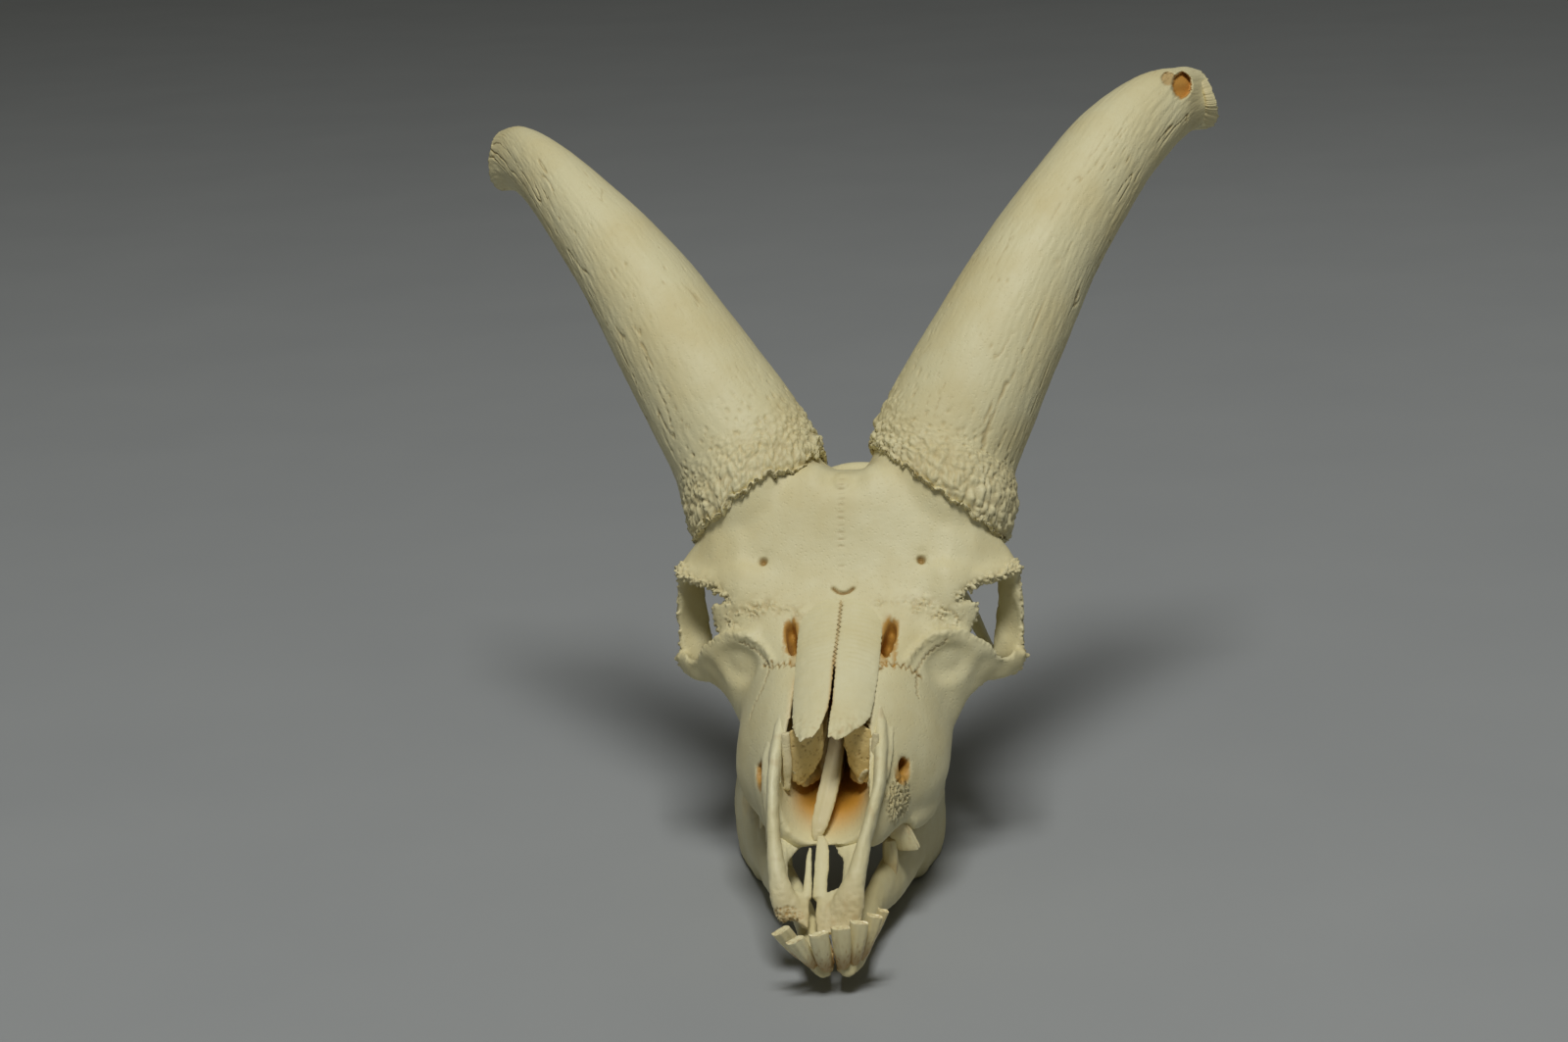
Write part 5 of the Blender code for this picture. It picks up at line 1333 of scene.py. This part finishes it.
# Incisors: long spade crowns that fan out of the chin, ridged lengthwise and worn flat, four on the left and
# three left standing on the right, where they have slumped outwards.
# Each: root, gum line, tip, half width at the tip and half thickness.
INCISORS = {
    "incisor_left_1": ((2.8, -113, 12.5), (3.6, -125, 19), (3.2, -133.6, 37), 4.2, 2.6),
    "incisor_left_2": ((6.0, -112, 13), (8.4, -123.5, 19.8), (11.2, -131.2, 38.2), 4.0, 2.5),
    "incisor_left_3": ((8.8, -110, 14), (12.4, -120.5, 21.6), (17.8, -127.8, 39.6), 3.5, 2.3),
    "incisor_left_4": ((11.0, -107, 15.5), (15.2, -115.5, 24), (21.4, -121.6, 39.4), 2.5, 1.9),
    "incisor_right_1": ((-2.8, -113, 12.5), (-4.2, -125, 18), (-6.0, -134.6, 35), 4.2, 2.6),
    "incisor_right_2": ((-6.2, -112, 13), (-10, -123, 18.6), (-16.2, -132.4, 31.6), 4.1, 2.8),
    "incisor_right_3": ((-9.4, -109, 14), (-14.6, -118, 20.6), (-22.2, -127.4, 34), 4.2, 3.0),
}
INCISOR_TURN = 0.15
for name, (root, gum, tip, wide, thick) in INCISORS.items():
    root, gum, tip = np.array(root), np.array(gum), np.array(tip)
    sideways = np.array((1, -math.copysign(INCISOR_TURN, tip[0]), 0))

    def place_at(turn, share):
        t = np.interp(share, [0, 0.9, 1], [0, 1, 1])[:, None]
        middle = (1 - t) ** 2 * root + 2 * t * (1 - t) * (2 * gum - (root + tip) / 2) + t**2 * tip
        run = (1 - t) * (2 * gum - root / 2 - tip / 2 - root) + t * (tip - 2 * gum + root / 2 + tip / 2)
        run /= np.linalg.norm(run, axis=1)[:, None]
        across = sideways - run * (run @ sideways)[:, None]
        across /= np.linalg.norm(across, axis=1)[:, None]
        front = np.cross(across, run)
        t = t[:, 0]
        close = np.interp(share, [0, 0.03, 0.9, 0.915, 1], [0, 1, 1, 0.95, 0])
        half = wide * np.interp(t, [0, 0.42, 0.62, 0.85, 1], [0.5, 0.74, 0.86, 0.98, 1.0]) * close
        deep = thick * np.interp(t, [0, 0.42, 0.7, 1], [0.8, 1.25, 1.05, 0.6]) * close
        ridges = 1 + 0.07 * np.cos(7 * turn + 0.5) * ease(0.35, 0.6, t) * np.minimum(close, 1)
        sag = np.where(share > 0.9, -0.35 * (1 - close), 0)
        flat_back = np.where(np.cos(turn) < 0, 0.7, 1.0)
        sideward, forward = half * np.sin(turn), deep * np.cos(turn) * ridges * flat_back
        places = middle + across * sideward[:, None] + front * forward[:, None]
        return places + run * (sag + 0.25 * ease(0.8, 1.0, t) * np.sin(3 * turn) * (share < 0.95))[:, None]

    tooth = rolled(name, 56, 90, place_at)
    places = places_of(tooth.data)
    up = (places - gum) @ (tip - gum) / ((tip - gum) @ (tip - gum))
    streak = swell((places - gum) * (1, 1, 0.15), 1.1, 2.0)
    stain_and_shade = 0.7 * ease(0.5, -0.1, up) + 0.5 * ease(0.05, 0.6, streak) * ease(1.0, 0.3, up)
    stain_and_shade += 0.4 * ease(0.97, 1.0, up) * ease(-0.1, 0.3, swell(places, 1.0))
    dressed(tooth, 0.07 * streak, stain_and_shade, 0.0)
    in_place(tooth, JAW_AT_REST, ENAMEL, "tooth", name)


# The floor: one wide plain sheet of pale matt grey paper that the jaw lies on. It is a single flat face with a
# very faint tone in the paper, and it is no part of the skull.
bm = bmesh.new()
bmesh.ops.create_grid(bm, x_segments=1, y_segments=1, size=9.0)
floor = piece("floor", bm)
paper = bpy.data.materials.new("pale_paper")
paper.use_nodes = True
paper_shader = paper.node_tree.nodes["Principled BSDF"]
paper_shader.inputs["Roughness"].default_value = 0.85
fibre = joined(
    paper.node_tree, "ShaderNodeTexNoise",
    {"Vector": joined(paper.node_tree, "ShaderNodeTexCoord").outputs["Object"], "Scale": 6.0, "Detail": 3.0},
)
tone = joined(
    paper.node_tree, "ShaderNodeMix",
    {0: fibre.outputs["Fac"], 6: (0.35, 0.365, 0.365, 1), 7: (0.39, 0.405, 0.40, 1)}, data_type="RGBA",
)
paper.node_tree.links.new(tone.outputs[2], paper_shader.inputs["Base Color"])
floor.data.materials.append(paper)

# Soft studio light: one large lamp high in front, a weak one low on the left, a weak one behind and a pale room.
# Each lamp: its place, power and width. All three are aimed at the middle of the skull.
LAMPS = (
    ("key_lamp", (0.35, -2.7, 4.2), 152.0, 1.2),
    ("fill_lamp", (-1.7, -1.6, 0.9), 0.4, 1.2),
    ("back_lamp", (0.5, 1.6, 1.5), 1.0, 1.0),
)
LAMP_AIM = Vector((0, 0, 0.18))
for name, place, power, size in LAMPS:
    lamp = bpy.data.lights.new(name, "AREA")
    lamp.energy = power
    lamp.size = size
    holder = bpy.data.objects.new(name, lamp)
    bpy.context.scene.collection.objects.link(holder)
    holder.location = place
    holder.rotation_euler = (LAMP_AIM - Vector(place)).to_track_quat("-Z", "Y").to_euler()
room = bpy.data.worlds.new("room")
room.use_nodes = True
room.node_tree.nodes["Background"].inputs["Color"].default_value = (0.84, 0.83, 0.72, 1)
room.node_tree.nodes["Background"].inputs["Strength"].default_value = 0.07
bpy.context.scene.world = room
bpy.context.scene.view_settings.view_transform = "Standard"

# The camera stands about 1.4 m in front and half a metre up, a little to the animal's left of its nose, and looks
# down on the face. Its place is in millimetres, measured before the model is centred.
CAMERA_PLACE = Vector((159.609, -1426.096, 550.0))
CAMERA_RIGHT = (0.9921574, 0.11664659, -0.04491396)
CAMERA_UP = (0.01391798, 0.25399547, 0.96710526)
CAMERA_FORWARD = Vector((-0.12421748, 0.96014576, -0.25038))
view = bpy.data.cameras.new("camera")
view.sensor_width = 23.6
view.lens = 50.0
view.clip_end = 60.0
camera = bpy.data.objects.new("camera", view)
bpy.context.scene.collection.objects.link(camera)
turned = Matrix((CAMERA_RIGHT, CAMERA_UP, -CAMERA_FORWARD)).transposed().to_4x4()
camera.matrix_world = Matrix.Translation(MILLIMETRES @ CAMERA_PLACE) @ turned
bpy.context.scene.camera = camera
